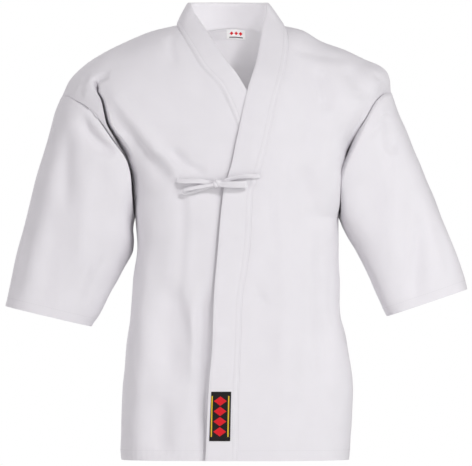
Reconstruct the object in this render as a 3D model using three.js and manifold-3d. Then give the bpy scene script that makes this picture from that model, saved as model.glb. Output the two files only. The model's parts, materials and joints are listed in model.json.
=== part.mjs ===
// Kendo jacket in its worn form, with no wearer in it. Lengths are millimetres.
// +Z is up, the front faces -Y and the viewer's right is +X.
// The origin is in the middle of the neck, level with the shoulder points beside it.
// The wearer's right is the viewer's left, so side -1 is the wearer's right.
import * as THREE from 'three';
import Module from 'manifold-3d';

const wasm = await Module();
wasm.setup();

// Driving sizes
const CLOTH_WALL = 1.8;
const BAND_WALL = 4.4;
const BAND_PROUD = 1.1;
const SEAM_HALF_GAP = 0.2;
const BAND_SEAM_GAP = 0.5;
const ARMHOLE_EXTRA_GAP = 0.2;
const UNDERARM_EASE = 1.6;
const UNDERARM_Z = -335;
const SLIT_TOP_Z = -503;
const HEM_Z = -760;
const SLIT_HALF_OPENING = 7;
const OVERLAP_LIFT = 8.5;
const NECK_BACK_DEPTH = 75;
const NECK_HUMP = 41;
const TIE_WIDTH = 12;
const TIE_THICKNESS = 2;
const LABEL_THICKNESS = 0.8;
const LAID_ON_GAP = 0.4;
const FRONT_ROUNDNESS = 2.5;
const BACK_ROUNDNESS = 6;
const SLEEVE_SQUARENESS = 2.3;
const SLEEVE_BACK_BOW = 0.6;
const SLEEVE_SETTLED = 0.14;
const OVERLAP_ENDS = { fromX: 72, toX: 125, fromShare: 0.68, toShare: 0.86 };
const FOLD_FACE = { from: 8, to: 45 };
const COLLAR_TOP = { endX: 56, z: 43, depth: 45, rise: 1.5 };
const NECK_SEAM_HEIGHT = 5;
const UNDERARM_REACH = { from: 6, to: 34 };
const LONGEST_WALL_STEP = 1.6;
const MOST_DRAWN_IN = 0.45;
const STRIP_EDGE = 0.6;
const TIE_RIGHT_WIDTH = 9.6;
const TIE_LEFT_WIDTH = 7.8;
const LOOP_STEPS = 18;
const KNOT_RINGS = 8;
const KNOT_AROUND = 14;
const BODY_CENTRE_TOP = -120;
const SEAM_PASSES = 40;

// Grid sizes
const FRONT_COLUMNS = 16;
const NECK_COLUMNS = 8;
const ARMHOLE_STEPS = 12;
const LOWER_LEVELS = [-760, -738, -700, -655, -610, -565, -530, -503, -470, -435, -400, -365, -335];
const SLEEVE_STATIONS = [0, 0.03, 0.07, 0.12, 0.2, 0.31, 0.43, 0.56, 0.7, 0.85, 1];

// Torso sections from hem to underarm: the side seams' x, the front's and the back's depth, and
// how square the plan is.
const TORSO_SECTIONS = [
  { at: -760, left: -202, right: 199, front: -120, back: 118, square: 2.9 },
  { at: -719, left: -202, right: 201, front: -119, back: 118, square: 2.9 },
  { at: -632, left: -198, right: 205, front: -117, back: 114, square: 2.9 },
  { at: -551, left: -190, right: 194, front: -115, back: 106, square: 2.9 },
  { at: -503, left: -185, right: 183, front: -114, back: 102, square: 2.9 },
  { at: -445, left: -180, right: 180, front: -114, back: 99, square: 2.9 },
  { at: -385, left: -173, right: 179, front: -115, back: 101, square: 2.85 },
  { at: -335, left: -177, right: 180, front: -116, back: 104, square: 2.8 },
];

// How square the body's plan is, by the share of the height from underarm to shoulder.
const PLAN_SQUARENESS = [
  { at: 0, front: 2.8, back: 2.8 },
  { at: 0.35, front: 3.0, back: 2.8 },
  { at: 0.6, front: 2.7, back: 2.6 },
  { at: 0.8, front: 2.4, back: 2.4 },
  { at: 1, front: 2.2, back: 2.2 },
];

// Height of the shoulder ridge, by the share of the way from the middle to the shoulder tip.
const RIDGE_RIGHT_WEARER = [
  { at: 0.342, z: 3 },
  { at: 0.48, z: -7 },
  { at: 0.626, z: -25 },
  { at: 0.82, z: -56 },
  { at: 0.901, z: -75 },
  { at: 0.96, z: -95 },
  { at: 1, z: -121 },
];
const RIDGE_LEFT_WEARER = [
  { at: 0.31, z: 2 },
  { at: 0.419, z: -5 },
  { at: 0.549, z: -25 },
  { at: 0.7, z: -40 },
  { at: 0.84, z: -58 },
  { at: 0.92, z: -67 },
  { at: 0.971, z: -78 },
  { at: 0.993, z: -93 },
  { at: 1, z: -115 },
];

// Armhole seams from the shoulder tip down to the underarm: how far the seam bows towards the
// body from the straight line, its depth, and how far the body's side stands inside the seam.
const ARMHOLE_RIGHT_WEARER = [
  { at: 0, bowFront: 0, yFront: 0, bowBack: 0, yBack: 0, tuckFront: 0, tuckBack: 0 },
  { at: 0.03, bowFront: 8, yFront: -22, bowBack: 5, yBack: 20, tuckFront: 0, tuckBack: 0 },
  { at: 0.08, bowFront: 16, yFront: -38, bowBack: 9, yBack: 34, tuckFront: 0, tuckBack: 0 },
  { at: 0.17, bowFront: 28, yFront: -54, bowBack: 15, yBack: 48, tuckFront: 0, tuckBack: 0 },
  { at: 0.27, bowFront: 34, yFront: -64, bowBack: 19, yBack: 57, tuckFront: 0, tuckBack: 0 },
  { at: 0.44, bowFront: 36, yFront: -71, bowBack: 22, yBack: 64, tuckFront: 4, tuckBack: 2 },
  { at: 0.55, bowFront: 34, yFront: -62, bowBack: 21, yBack: 62, tuckFront: 13, tuckBack: 6 },
  { at: 0.7, bowFront: 24, yFront: -38, bowBack: 16, yBack: 50, tuckFront: 19, tuckBack: 10 },
  { at: 0.85, bowFront: 10, yFront: -18, bowBack: 8, yBack: 29, tuckFront: 13, tuckBack: 8 },
  { at: 0.95, bowFront: 3, yFront: -7, bowBack: 3, yBack: 12, tuckFront: 8, tuckBack: 5 },
  { at: 1, bowFront: 0, yFront: 0, bowBack: 0, yBack: 0, tuckFront: 0, tuckBack: 0 },
];
const ARMHOLE_LEFT_WEARER = [
  { at: 0, bowFront: 0, yFront: 0, bowBack: 0, yBack: 0, tuckFront: 0, tuckBack: 0 },
  { at: 0.04, bowFront: 12, yFront: -24, bowBack: 5, yBack: 22, tuckFront: 0, tuckBack: 0 },
  { at: 0.12, bowFront: 20, yFront: -42, bowBack: 12, yBack: 42, tuckFront: 0, tuckBack: 0 },
  { at: 0.31, bowFront: 25, yFront: -60, bowBack: 20, yBack: 59, tuckFront: 0, tuckBack: 0 },
  { at: 0.5, bowFront: 30, yFront: -64, bowBack: 22, yBack: 63, tuckFront: 2, tuckBack: 4 },
  { at: 0.62, bowFront: 31, yFront: -56, bowBack: 19, yBack: 57, tuckFront: 6, tuckBack: 8 },
  { at: 0.79, bowFront: 17, yFront: -32, bowBack: 11, yBack: 40, tuckFront: 10, tuckBack: 9 },
  { at: 0.9, bowFront: 6, yFront: -14, bowBack: 5, yBack: 22, tuckFront: 9, tuckBack: 7 },
  { at: 0.96, bowFront: 2, yFront: -6, bowBack: 2, yBack: 10, tuckFront: 7, tuckBack: 5 },
  { at: 1, bowFront: 0, yFront: 0, bowBack: 0, yBack: 0, tuckFront: 0, tuckBack: 0 },
];

// Sleeve sections from armhole to cuff: outer point, inner point, front and back depth, and how
// far the front and the back bow towards the body.
const SLEEVE_RIGHT_WEARER = [
  { at: 0, outX: -306, outZ: -121, inX: -177, inZ: -335, front: -78, back: 70, bow: 36 },
  { at: 0.12, outX: -319, outZ: -148, inX: -182, inZ: -356, front: -79, back: 72, bow: 28 },
  { at: 0.24, outX: -334, outZ: -203, inX: -181, inZ: -375, front: -78, back: 73, bow: 22 },
  { at: 0.36, outX: -348, outZ: -252, inX: -182, inZ: -391, front: -77, back: 73, bow: 15 },
  { at: 0.56, outX: -367, outZ: -328, inX: -203, inZ: -432, front: -74, back: 72, bow: 9 },
  { at: 0.78, outX: -388, outZ: -408, inX: -228, inZ: -479, front: -70, back: 69, bow: 4 },
  { at: 1, outX: -406, outZ: -491, inX: -254, inZ: -527, front: -66, back: 66, bow: 0 },
];
const SLEEVE_LEFT_WEARER = [
  { at: 0, outX: 273, outZ: -115, inX: 180, inZ: -335, front: -77, back: 70, bow: 24 },
  { at: 0.12, outX: 284, outZ: -148, inX: 187, inZ: -350, front: -77, back: 72, bow: 20 },
  { at: 0.24, outX: 297, outZ: -180, inX: 196, inZ: -366, front: -77, back: 73, bow: 16 },
  { at: 0.4, outX: 321, outZ: -236, inX: 212, inZ: -393, front: -76, back: 73, bow: 11 },
  { at: 0.6, outX: 350, outZ: -306, inX: 230, inZ: -432, front: -74, back: 71, bow: 8 },
  { at: 0.8, outX: 380, outZ: -380, inX: 247, inZ: -471, front: -70, back: 69, bow: 4 },
  { at: 1, outX: 407, outZ: -461, inX: 265, inZ: -509, front: -66, back: 66, bow: 0 },
];

// The band on each front, by the height of its seam: the seam's x, the way from the seam to the
// free edge, and how far the free edge leans back.
const BAND_RIGHT_WEARER = [
  { at: -760, seamX: 16, acrossX: 52, acrossZ: 0, lean: 0 },
  { at: -343, seamX: 20, acrossX: 52, acrossZ: 0, lean: 0 },
  { at: -270, seamX: 20, acrossX: 52, acrossZ: 2, lean: 0 },
  { at: -212, seamX: 14, acrossX: 48, acrossZ: 10, lean: 1 },
  { at: -174, seamX: 1, acrossX: 42, acrossZ: 18, lean: 3 },
  { at: -110, seamX: -28, acrossX: 34, acrossZ: 19, lean: 4 },
  { at: -72, seamX: -61, acrossX: 35, acrossZ: 23, lean: 6 },
  { at: -40, seamX: -80, acrossX: 31, acrossZ: 29, lean: 12 },
  { at: -15, seamX: -95, acrossX: 26, acrossZ: 34, lean: 16 },
  { at: 3, seamX: -104.7, acrossX: 21, acrossZ: 40, lean: 8 },
];
const BAND_LEFT_WEARER = [
  { at: -760, seamX: 3.5, acrossX: -57, acrossZ: 0, lean: 0 },
  { at: -639, seamX: 5, acrossX: -53, acrossZ: 0, lean: 0 },
  { at: -551, seamX: 9, acrossX: -50, acrossZ: 0, lean: 0 },
  { at: -480, seamX: 11, acrossX: -50, acrossZ: 0, lean: 0 },
  { at: -436, seamX: 18, acrossX: -54, acrossZ: 0, lean: 0 },
  { at: -369, seamX: 26, acrossX: -56, acrossZ: 0, lean: 0 },
  { at: -300, seamX: 29, acrossX: -52, acrossZ: 3, lean: 0 },
  { at: -254, seamX: 42, acrossX: -50, acrossZ: 12, lean: 0 },
  { at: -212, seamX: 54, acrossX: -53, acrossZ: 14, lean: 1 },
  { at: -137, seamX: 70, acrossX: -52, acrossZ: 17, lean: 3 },
  { at: -60, seamX: 89, acrossX: -51, acrossZ: 11, lean: 6 },
  { at: -30, seamX: 92, acrossX: -47, acrossZ: 22, lean: 12 },
  { at: -12, seamX: 91, acrossX: -40, acrossZ: 32, lean: 16 },
  { at: 2, seamX: 85, acrossX: -29, acrossZ: 41, lean: 8 },
];

// Large folds in the cloth. Each runs from its top to its foot as seen from the front or the
// back; a positive height is a ridge and a negative one a trough.
const FOLDS = [
  { face: -1, x0: -222, z0: -112, x1: -145, z1: -212, width: 15, height: 7 },
  { face: -1, x0: -145, z0: -212, x1: -100, z1: -262, width: 13, height: 6 },
  { face: -1, x0: -212, z0: -160, x1: -128, z1: -262, width: 17, height: -7 },
  { face: -1, x0: -118, z0: -462, x1: -116, z1: -600, width: 25, height: -9 },
  { face: -1, x0: -76, z0: -492, x1: -73, z1: -610, width: 12, height: 5 },
  { face: -1, x0: -54, z0: -490, x1: -58, z1: -705, width: 13, height: -9 },
  { face: -1, x0: -128, z0: -660, x1: -132, z1: -740, width: 18, height: -5 },
  { face: -1, x0: -160, z0: -430, x1: -172, z1: -740, width: 17, height: 4 },
  { face: -1, x0: 118, z0: -255, x1: 138, z1: -340, width: 22, height: -7 },
  { face: -1, x0: 148, z0: -370, x1: 155, z1: -600, width: 16, height: -6 },
  { face: -1, x0: 100, z0: -420, x1: 92, z1: -640, width: 24, height: 5 },
  { face: -1, x0: 146, z0: -80, x1: 158, z1: -140, width: 13, height: -5 },
  { face: -1, x0: 196, z0: -76, x1: 230, z1: -124, width: 13, height: -5 },
  { face: -1, x0: -296, z0: -190, x1: -302, z1: -315, width: 16, height: -6 },
  { face: -1, x0: -262, z0: -250, x1: -268, z1: -430, width: 20, height: 5 },
  { face: -1, x0: -318, z0: -360, x1: -338, z1: -490, width: 18, height: -5 },
  { face: -1, x0: 318, z0: -340, x1: 312, z1: -470, width: 15, height: -6 },
  { face: -1, x0: 270, z0: -160, x1: 274, z1: -215, width: 13, height: -6 },
  { face: -1, x0: 270, z0: -270, x1: 276, z1: -420, width: 20, height: 4 },
  { face: 1, x0: -205, z0: -150, x1: -110, z1: -250, width: 18, height: -7 },
  { face: 1, x0: 200, z0: -140, x1: 95, z1: -262, width: 18, height: -8 },
  { face: 1, x0: -70, z0: -330, x1: -92, z1: -620, width: 24, height: -7 },
  { face: 1, x0: 62, z0: -360, x1: 80, z1: -700, width: 26, height: -8 },
  { face: 1, x0: -8, z0: -120, x1: -4, z1: -330, width: 22, height: -4 },
  { face: 1, x0: -140, z0: -420, x1: -150, z1: -720, width: 18, height: 5 },
  { face: 1, x0: 140, z0: -400, x1: 148, z1: -690, width: 18, height: 5 },
  { face: 1, x0: -300, z0: -200, x1: -322, z1: -430, width: 17, height: -6 },
  { face: 1, x0: 290, z0: -190, x1: 330, z1: -420, width: 17, height: -6 },
];

const clamp = (value, low, high) => Math.min(high, Math.max(low, value));

function ease(value, from, to) {
  const share = clamp((value - from) / (to - from), 0, 1);
  return share * share * (3 - 2 * share);
}

function signedPower(value, power) {
  return Math.sign(value) * Math.pow(Math.abs(value), power);
}

// Reads one column of a table at a position between its rows, on a curve that never overshoots.
function readTable(rows, position, column) {
  const last = rows.length - 1;
  if (position <= rows[0].at) return rows[0][column];
  if (position >= rows[last].at) return rows[last][column];
  let index = 0;
  while (position > rows[index + 1].at) index += 1;
  const slopeOf = (k) => (rows[k + 1][column] - rows[k][column]) / (rows[k + 1].at - rows[k].at);
  const tangentOf = (k) => {
    if (k === 0) return slopeOf(0);
    if (k === last) return slopeOf(last - 1);
    const before = slopeOf(k - 1);
    const after = slopeOf(k);
    return before * after <= 0 ? 0 : (2 * before * after) / (before + after);
  };
  const span = rows[index + 1].at - rows[index].at;
  const share = (position - rows[index].at) / span;
  const square = share * share;
  const cube = square * share;
  return (2 * cube - 3 * square + 1) * rows[index][column]
    + (cube - 2 * square + share) * span * tangentOf(index)
    + (3 * square - 2 * cube) * rows[index + 1][column]
    + (cube - square) * span * tangentOf(index + 1);
}

const SIDES = {
  '-1': {
    ridge: RIDGE_RIGHT_WEARER,
    armhole: ARMHOLE_RIGHT_WEARER,
    sleeve: SLEEVE_RIGHT_WEARER,
    band: BAND_RIGHT_WEARER,
    torsoColumn: 'left',
    neckShare: BAND_RIGHT_WEARER.at(-1).seamX / SLEEVE_RIGHT_WEARER[0].outX,
  },
  1: {
    ridge: RIDGE_LEFT_WEARER,
    armhole: ARMHOLE_LEFT_WEARER,
    sleeve: SLEEVE_LEFT_WEARER,
    band: BAND_LEFT_WEARER,
    torsoColumn: 'right',
    neckShare: BAND_LEFT_WEARER.at(-1).seamX / SLEEVE_LEFT_WEARER[0].outX,
  },
};

// A level is one row of the body: below the underarm it has a height, above it a share of the
// way from the underarm to the shoulder ridge.
const levels = LOWER_LEVELS.map((z) => ({ z, share: 0 }));
for (let step = 1; step <= ARMHOLE_STEPS; step += 1) {
  levels.push({ z: UNDERARM_Z, share: (1 - Math.cos((Math.PI * step) / ARMHOLE_STEPS)) / 2 });
}

function armholePoint(side, face, share) {
  const { armhole, sleeve } = SIDES[side];
  const top = sleeve[0];
  const down = 1 - share;
  const alongX = top.inX - top.outX;
  const alongZ = top.inZ - top.outZ;
  const length = Math.hypot(alongX, alongZ);
  const suffix = face < 0 ? 'Front' : 'Back';
  const bow = readTable(armhole, down, `bow${suffix}`);
  const y = readTable(armhole, down, `y${suffix}`);
  return new THREE.Vector3(
    top.outX + alongX * down - (side * Math.abs(alongZ) / length) * bow,
    y,
    top.outZ + alongZ * down + (Math.abs(alongX) / length) * bow,
  );
}

function sidePoint(side, face, level) {
  if (level.share > 0) return armholePoint(side, face, level.share);
  const x = readTable(TORSO_SECTIONS, level.z, SIDES[side].torsoColumn);
  const opening = SLIT_HALF_OPENING * ease(level.z, SLIT_TOP_Z, HEM_Z);
  return new THREE.Vector3(x, face * opening, level.z);
}

function ridgeHeight(side, outShare) {
  const { ridge, neckShare } = SIDES[side];
  const inNeck = 1 - clamp(outShare / neckShare, 0, 1) ** 2;
  return readTable(ridge, outShare, 'z') + NECK_HUMP * inNeck * inNeck;
}

function middleDepth(face, level) {
  const column = face < 0 ? 'front' : 'back';
  const depth = readTable(TORSO_SECTIONS, level.z, column);
  const roundness = face < 0 ? FRONT_ROUNDNESS : BACK_ROUNDNESS;
  return depth * Math.sqrt(1 - level.share ** roundness);
}

function planSquareness(face, level) {
  if (level.share > 0) return readTable(PLAN_SQUARENESS, level.share, face < 0 ? 'front' : 'back');
  return readTable(TORSO_SECTIONS, level.z, 'square');
}

// How far the body's side stands inside the armhole seam.
function sideTuck(side, face, level) {
  if (level.share === 0) return 0;
  const column = face < 0 ? 'tuckFront' : 'tuckBack';
  return side * readTable(SIDES[side].armhole, 1 - level.share, column);
}

// A point of the body's outer surface: angle 0 is at the side and a quarter turn in the middle.
function bodyPoint(side, face, level, angle) {
  const edge = sidePoint(side, face, level);
  const squareness = planSquareness(face, level);
  const outShare = signedPower(Math.cos(angle), 2 / squareness);
  const depthShare = Math.pow(Math.abs(Math.sin(angle)), 2 / squareness);
  const y = edge.y + (middleDepth(face, level) - edge.y) * depthShare;
  const tuck = sideTuck(side, face, level);
  const x = (edge.x - tuck) * outShare + tuck * (1 - depthShare) ** 1.5;
  let z = level.z;
  if (level.share > 0) {
    const out = Math.abs(outShare);
    const atEdge = UNDERARM_Z + (ridgeHeight(side, 1) - UNDERARM_Z) * level.share;
    z = UNDERARM_Z + (ridgeHeight(side, out) - UNDERARM_Z) * level.share;
    z += (edge.z - atEdge) * out ** 4;
  }
  return new THREE.Vector3(x, y, z);
}

function angleAtX(side, face, level, x) {
  const halfWidth = sidePoint(side, face, level).x - sideTuck(side, face, level);
  return Math.acos(clamp(signedPower(x / halfWidth, planSquareness(face, level) / 2), -1, 1));
}

// The wearer's left front and its band lie over the wearer's right ones.
function overlapLift(side, x, share) {
  if (side < 0) return 0;
  const { fromX, toX, fromShare, toShare } = OVERLAP_ENDS;
  return OVERLAP_LIFT * (1 - ease(x, fromX, toX)) * (1 - ease(share, fromShare, toShare));
}

function frontPoint(side, level, angle) {
  const point = bodyPoint(side, -1, level, angle);
  point.y -= overlapLift(side, point.x, level.share);
  return point;
}

// The front's seam with its band, found on the level by closing in on its height.
function seamAngle(side, level) {
  let z = level.z;
  let angle = 0;
  for (let pass = 0; pass < SEAM_PASSES; pass += 1) {
    const x = readTable(SIDES[side].band, z, 'seamX');
    angle = angleAtX(side, -1, level, x);
    z = 0.5 * z + 0.5 * bodyPoint(side, -1, level, angle).z;
  }
  return angle;
}

function frontGrid(side) {
  return levels.map((level) => {
    const start = seamAngle(side, level);
    const row = [];
    for (let column = 0; column <= FRONT_COLUMNS; column += 1) {
      row.push(frontPoint(side, level, start * (1 - column / FRONT_COLUMNS)));
    }
    return row;
  });
}

// The back's columns: two shoulder parts and the neck between them.
function backGrid() {
  return levels.map((level) => {
    const row = [];
    for (const side of [-1, 1]) {
      const neckX = readTable(SIDES[side].band, NECK_SEAM_HEIGHT, 'seamX');
      const neckAngle = level.share === 1 ? seamAngle(side, level) : angleAtX(side, 1, level, neckX);
      const half = [];
      for (let column = 0; column <= FRONT_COLUMNS; column += 1) {
        half.push(bodyPoint(side, 1, level, (neckAngle * column) / FRONT_COLUMNS));
      }
      const halfNeck = NECK_COLUMNS / 2;
      const neckShare = Math.abs(bodyPoint(side, 1, level, neckAngle).x / sidePoint(side, 1, level).x);
      for (let column = 1; column <= halfNeck; column += 1) {
        const turn = (Math.PI / 2) * (1 - column / halfNeck);
        const across = Math.sin(turn);
        const drop = Math.cos(turn) * (NECK_BACK_DEPTH / TORSO_SECTIONS.at(-1).back);
        const top = Math.pow(1 - drop * drop, 1 / BACK_ROUNDNESS);
        const lowered = { z: level.z, share: level.share * top };
        const x = sidePoint(side, 1, level).x * neckShare * across;
        half.push(bodyPoint(side, 1, lowered, angleAtX(side, 1, lowered, x)));
      }
      if (side > 0) {
        half.pop();
        half.reverse();
      }
      row.push(...half);
    }
    return row;
  });
}

// A sleeve's ring: the shoulder tip first, down the front to the underarm, up the back.
function sleeveRing(side, station) {
  const { sleeve } = SIDES[side];
  const value = (column) => readTable(sleeve, station, column);
  const outX = value('outX');
  const outZ = value('outZ');
  const alongX = value('inX') - outX;
  const alongZ = value('inZ') - outZ;
  const length = Math.hypot(alongX, alongZ);
  const settled = ease(station, 0, SLEEVE_SETTLED);
  const ring = [];
  for (let step = 0; step < 2 * ARMHOLE_STEPS; step += 1) {
    const face = step <= ARMHOLE_STEPS ? -1 : 1;
    const turn = (Math.PI * step) / ARMHOLE_STEPS;
    const down = (1 - signedPower(Math.cos(turn), 2 / SLEEVE_SQUARENESS)) / 2;
    const sine = Math.abs(Math.sin(turn));
    const depth = value(face < 0 ? 'front' : 'back') * Math.pow(sine, 2 / SLEEVE_SQUARENESS);
    const lowHalf = Math.cos(turn) < 0;
    const bow = value('bow') * (face < 0 ? 1 : SLEEVE_BACK_BOW) * (lowHalf ? sine ** 3 : sine);
    const section = new THREE.Vector3(
      outX + alongX * down - (side * Math.abs(alongZ) / length) * bow,
      depth,
      outZ + alongZ * down + (Math.abs(alongX) / length) * bow,
    );
    const stepDown = face < 0 ? step : 2 * ARMHOLE_STEPS - step;
    const level = levels[levels.length - 1 - stepDown];
    ring.push(sidePoint(side, face, level).lerp(section, settled));
  }
  return ring;
}

function sleeveGrid(side) {
  return SLEEVE_STATIONS.map((station) => sleeveRing(side, station));
}

// The push of all folds at a point, along the cloth's outward direction.
function foldPush(point) {
  let push = 0;
  for (const fold of FOLDS) {
    const alongX = fold.x1 - fold.x0;
    const alongZ = fold.z1 - fold.z0;
    const length = Math.hypot(alongX, alongZ);
    const share = ((point.x - fold.x0) * alongX + (point.z - fold.z0) * alongZ) / (length * length);
    const across = ((point.x - fold.x0) * alongZ - (point.z - fold.z0) * alongX) / length;
    const ends = ease(share, -0.25, 0.2) * (1 - ease(share, 0.8, 1.25));
    const onFace = ease(point.y * fold.face, FOLD_FACE.from, FOLD_FACE.to);
    push += fold.height * Math.exp(-((across / fold.width) ** 2)) * ends * onFace;
  }
  return push;
}

// Grid normals. A closed grid's rows are rings.
function gridNormals(grid, closed) {
  const rows = grid.length;
  const columns = grid[0].length;
  const wrap = (c) => (closed ? (c + columns) % columns : clamp(c, 0, columns - 1));
  return grid.map((row, r) => row.map((_, c) => {
    const along = grid[Math.min(r + 1, rows - 1)][c].clone().sub(grid[Math.max(r - 1, 0)][c]);
    const across = row[wrap(c + 1)].clone().sub(row[wrap(c - 1)]);
    return across.cross(along).normalize();
  }));
}

function turnOutwards(normals, grid, centreOf) {
  let sum = 0;
  grid.forEach((row, r) => row.forEach((point, c) => {
    sum += normals[r][c].dot(point.clone().sub(centreOf(r, point)));
  }));
  if (sum < 0) normals.forEach((row) => row.forEach((normal) => normal.negate()));
}

// Under the arm three pieces meet, and there each wall keeps its own direction.
const underarms = [-1, 1].map((side) => sidePoint(side, -1, { z: UNDERARM_Z, share: 0 }));

const keyOf = (point) => [point.x, point.y, point.z].map((v) => Math.round(v * 200)).join(' ');

// The direction from a border point into its piece, or zero inside the piece.
function inwardStep(patch, r, c) {
  const { grid, closed } = patch;
  const rows = grid.length;
  const columns = grid[0].length;
  const step = new THREE.Vector3();
  const add = (row, column) => {
    step.add(grid[row][column].clone().sub(grid[r][c]).normalize());
  };
  if (r === 0) add(1, c);
  if (r === rows - 1) add(rows - 2, c);
  if (!closed && c === 0) add(r, 1);
  if (!closed && c === columns - 1) add(r, columns - 2);
  return step;
}

// Pieces that share a seam share its normals, so their walls meet edge to edge. Where they meet
// in a sharp groove, the groove's own direction leads.
function sharedNormals(patches) {
  const sums = new Map();
  for (const patch of patches) {
    patch.normals = gridNormals(patch.grid, patch.closed);
    turnOutwards(patch.normals, patch.grid, patch.centreOf);
    patch.grid.forEach((row, r) => row.forEach((point, c) => {
      const key = keyOf(point);
      if (!sums.has(key)) sums.set(key, []);
      sums.get(key).push({ normal: patch.normals[r][c], step: inwardStep(patch, r, c) });
    }));
  }
  for (const patch of patches) {
    const shared = patch.grid.map((row, r) => row.map((point, c) => (
      underarms.some((place) => place.distanceTo(point) < 0.5)
        ? { normal: patch.normals[r][c], scale: 1 }
        : meanOfGroup(sums.get(keyOf(point)))
    )));
    patch.normals = shared.map((row) => row.map((entry) => entry.normal));
    patch.wallScale = shared.map((row) => row.map((entry) => entry.scale));
  }
}

// The mean direction of the pieces that meet at a point, and how much longer the step through
// the wall is along it.
function meanOfGroup(group) {
  const mean = new THREE.Vector3();
  const groove = new THREE.Vector3();
  group.forEach(({ normal, step }) => {
    mean.add(normal);
    groove.add(step);
  });
  if (group.length > 1) mean.addScaledVector(groove, Math.sign(mean.dot(groove)));
  mean.normalize();
  const fit = group.reduce((total, { normal }) => total + normal.dot(mean), 0) / group.length;
  return { normal: mean, scale: Math.min(LONGEST_WALL_STEP, 1 / Math.max(fit, 0.4)) };
}

// Draws the border rows of a piece in by half the seam gap.
function drawBordersIn(grid, closed, gap = SEAM_HALF_GAP) {
  const rows = grid.length;
  const columns = grid[0].length;
  const copy = grid.map((row) => row.map((point) => point.clone()));
  const pull = (point, towards) => {
    const step = towards.clone().sub(point);
    const nearest = Math.min(...underarms.map((underarm) => underarm.distanceTo(point)));
    const nearUnderarm = 1 - ease(nearest, UNDERARM_REACH.from, UNDERARM_REACH.to);
    const atArmhole = ARMHOLE_EXTRA_GAP + UNDERARM_EASE * nearUnderarm;
    const wanted = gap + (closed ? atArmhole : 0);
    point.add(step.setLength(Math.min(wanted, step.length() * MOST_DRAWN_IN)));
  };
  for (let c = 0; c < columns; c += 1) {
    pull(copy[0][c], grid[1][c]);
    pull(copy[rows - 1][c], grid[rows - 2][c]);
  }
  if (!closed) {
    for (let r = 0; r < rows; r += 1) {
      pull(copy[r][0], grid[r][1]);
      pull(copy[r][columns - 1], grid[r][columns - 2]);
    }
  }
  return copy;
}

// A closed wall between an outer and an inner grid.
function wallGeometry(outer, inner, closed) {
  const rows = outer.length;
  const columns = outer[0].length;
  const positions = [];
  [outer, inner].forEach((grid) => grid.forEach((row) => row.forEach((p) => {
    positions.push(p.x, p.y, p.z);
  })));
  const at = (layer, r, c) => layer * rows * columns + r * columns + (c % columns);
  const faces = [];
  const quad = (a, b, c, d) => faces.push(a, b, c, a, c, d);
  const lastColumn = closed ? columns : columns - 1;
  for (let r = 0; r < rows - 1; r += 1) {
    for (let c = 0; c < lastColumn; c += 1) {
      quad(at(0, r, c), at(0, r, c + 1), at(0, r + 1, c + 1), at(0, r + 1, c));
      quad(at(1, r, c), at(1, r + 1, c), at(1, r + 1, c + 1), at(1, r, c + 1));
    }
  }
  for (let c = 0; c < lastColumn; c += 1) {
    quad(at(0, 0, c), at(1, 0, c), at(1, 0, c + 1), at(0, 0, c + 1));
    quad(at(0, rows - 1, c), at(0, rows - 1, c + 1), at(1, rows - 1, c + 1), at(1, rows - 1, c));
  }
  if (!closed) {
    const end = columns - 1;
    for (let r = 0; r < rows - 1; r += 1) {
      quad(at(0, r, 0), at(0, r + 1, 0), at(1, r + 1, 0), at(1, r, 0));
      quad(at(0, r, end), at(1, r, end), at(1, r + 1, end), at(0, r + 1, end));
    }
  }
  if (signedVolume(positions, faces) < 0) {
    for (let f = 0; f < faces.length; f += 3) [faces[f], faces[f + 1]] = [faces[f + 1], faces[f]];
  }
  return bufferGeometry(positions, faces);
}

function signedVolume(positions, faces) {
  let volume = 0;
  const corner = (index) => new THREE.Vector3().fromArray(positions, index * 3);
  for (let f = 0; f < faces.length; f += 3) {
    volume += corner(faces[f]).dot(corner(faces[f + 1]).cross(corner(faces[f + 2]))) / 6;
  }
  return volume;
}

function bufferGeometry(positions, faces) {
  const geometry = new THREE.BufferGeometry();
  geometry.setAttribute('position', new THREE.Float32BufferAttribute(positions, 3));
  geometry.setIndex(faces);
  geometry.computeVertexNormals();
  return geometry;
}

function offsetGrid(grid, normals, distance, scale) {
  return grid.map((row, r) => row.map((point, c) => (
    point.clone().addScaledVector(normals[r][c], distance * (scale ? scale[r][c] : 1))
  )));
}

// The cloth panels and sleeves
const bodyCentre = (r, point) => new THREE.Vector3(0, 0, Math.min(point.z, BODY_CENTRE_TOP));
const patches = {
  front_right: { grid: frontGrid(-1), closed: false, centreOf: bodyCentre },
  front_left: { grid: frontGrid(1), closed: false, centreOf: bodyCentre },
  back: { grid: backGrid(), closed: false, centreOf: bodyCentre },
};
for (const [name, side] of [['sleeve_right', -1], ['sleeve_left', 1]]) {
  const grid = sleeveGrid(side);
  const centres = grid.map((ring) => {
    const sum = new THREE.Vector3();
    ring.forEach((point) => sum.add(point));
    return sum.divideScalar(ring.length);
  });
  patches[name] = { grid, closed: true, centreOf: (r) => centres[r] };
}
const patchList = Object.values(patches);
sharedNormals(patchList);
for (const patch of patchList) {
  patch.grid = patch.grid.map((row, r) => row.map((point, c) => (
    point.clone().addScaledVector(patch.normals[r][c], foldPush(point))
  )));
}
sharedNormals(patchList);
const geometries = {};
for (const [name, patch] of Object.entries(patches)) {
  const inner = offsetGrid(patch.grid, patch.normals, -CLOTH_WALL, patch.wallScale);
  geometries[name] = wallGeometry(
    drawBordersIn(patch.grid, patch.closed),
    drawBordersIn(inner, patch.closed),
    patch.closed,
  );
}

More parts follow.
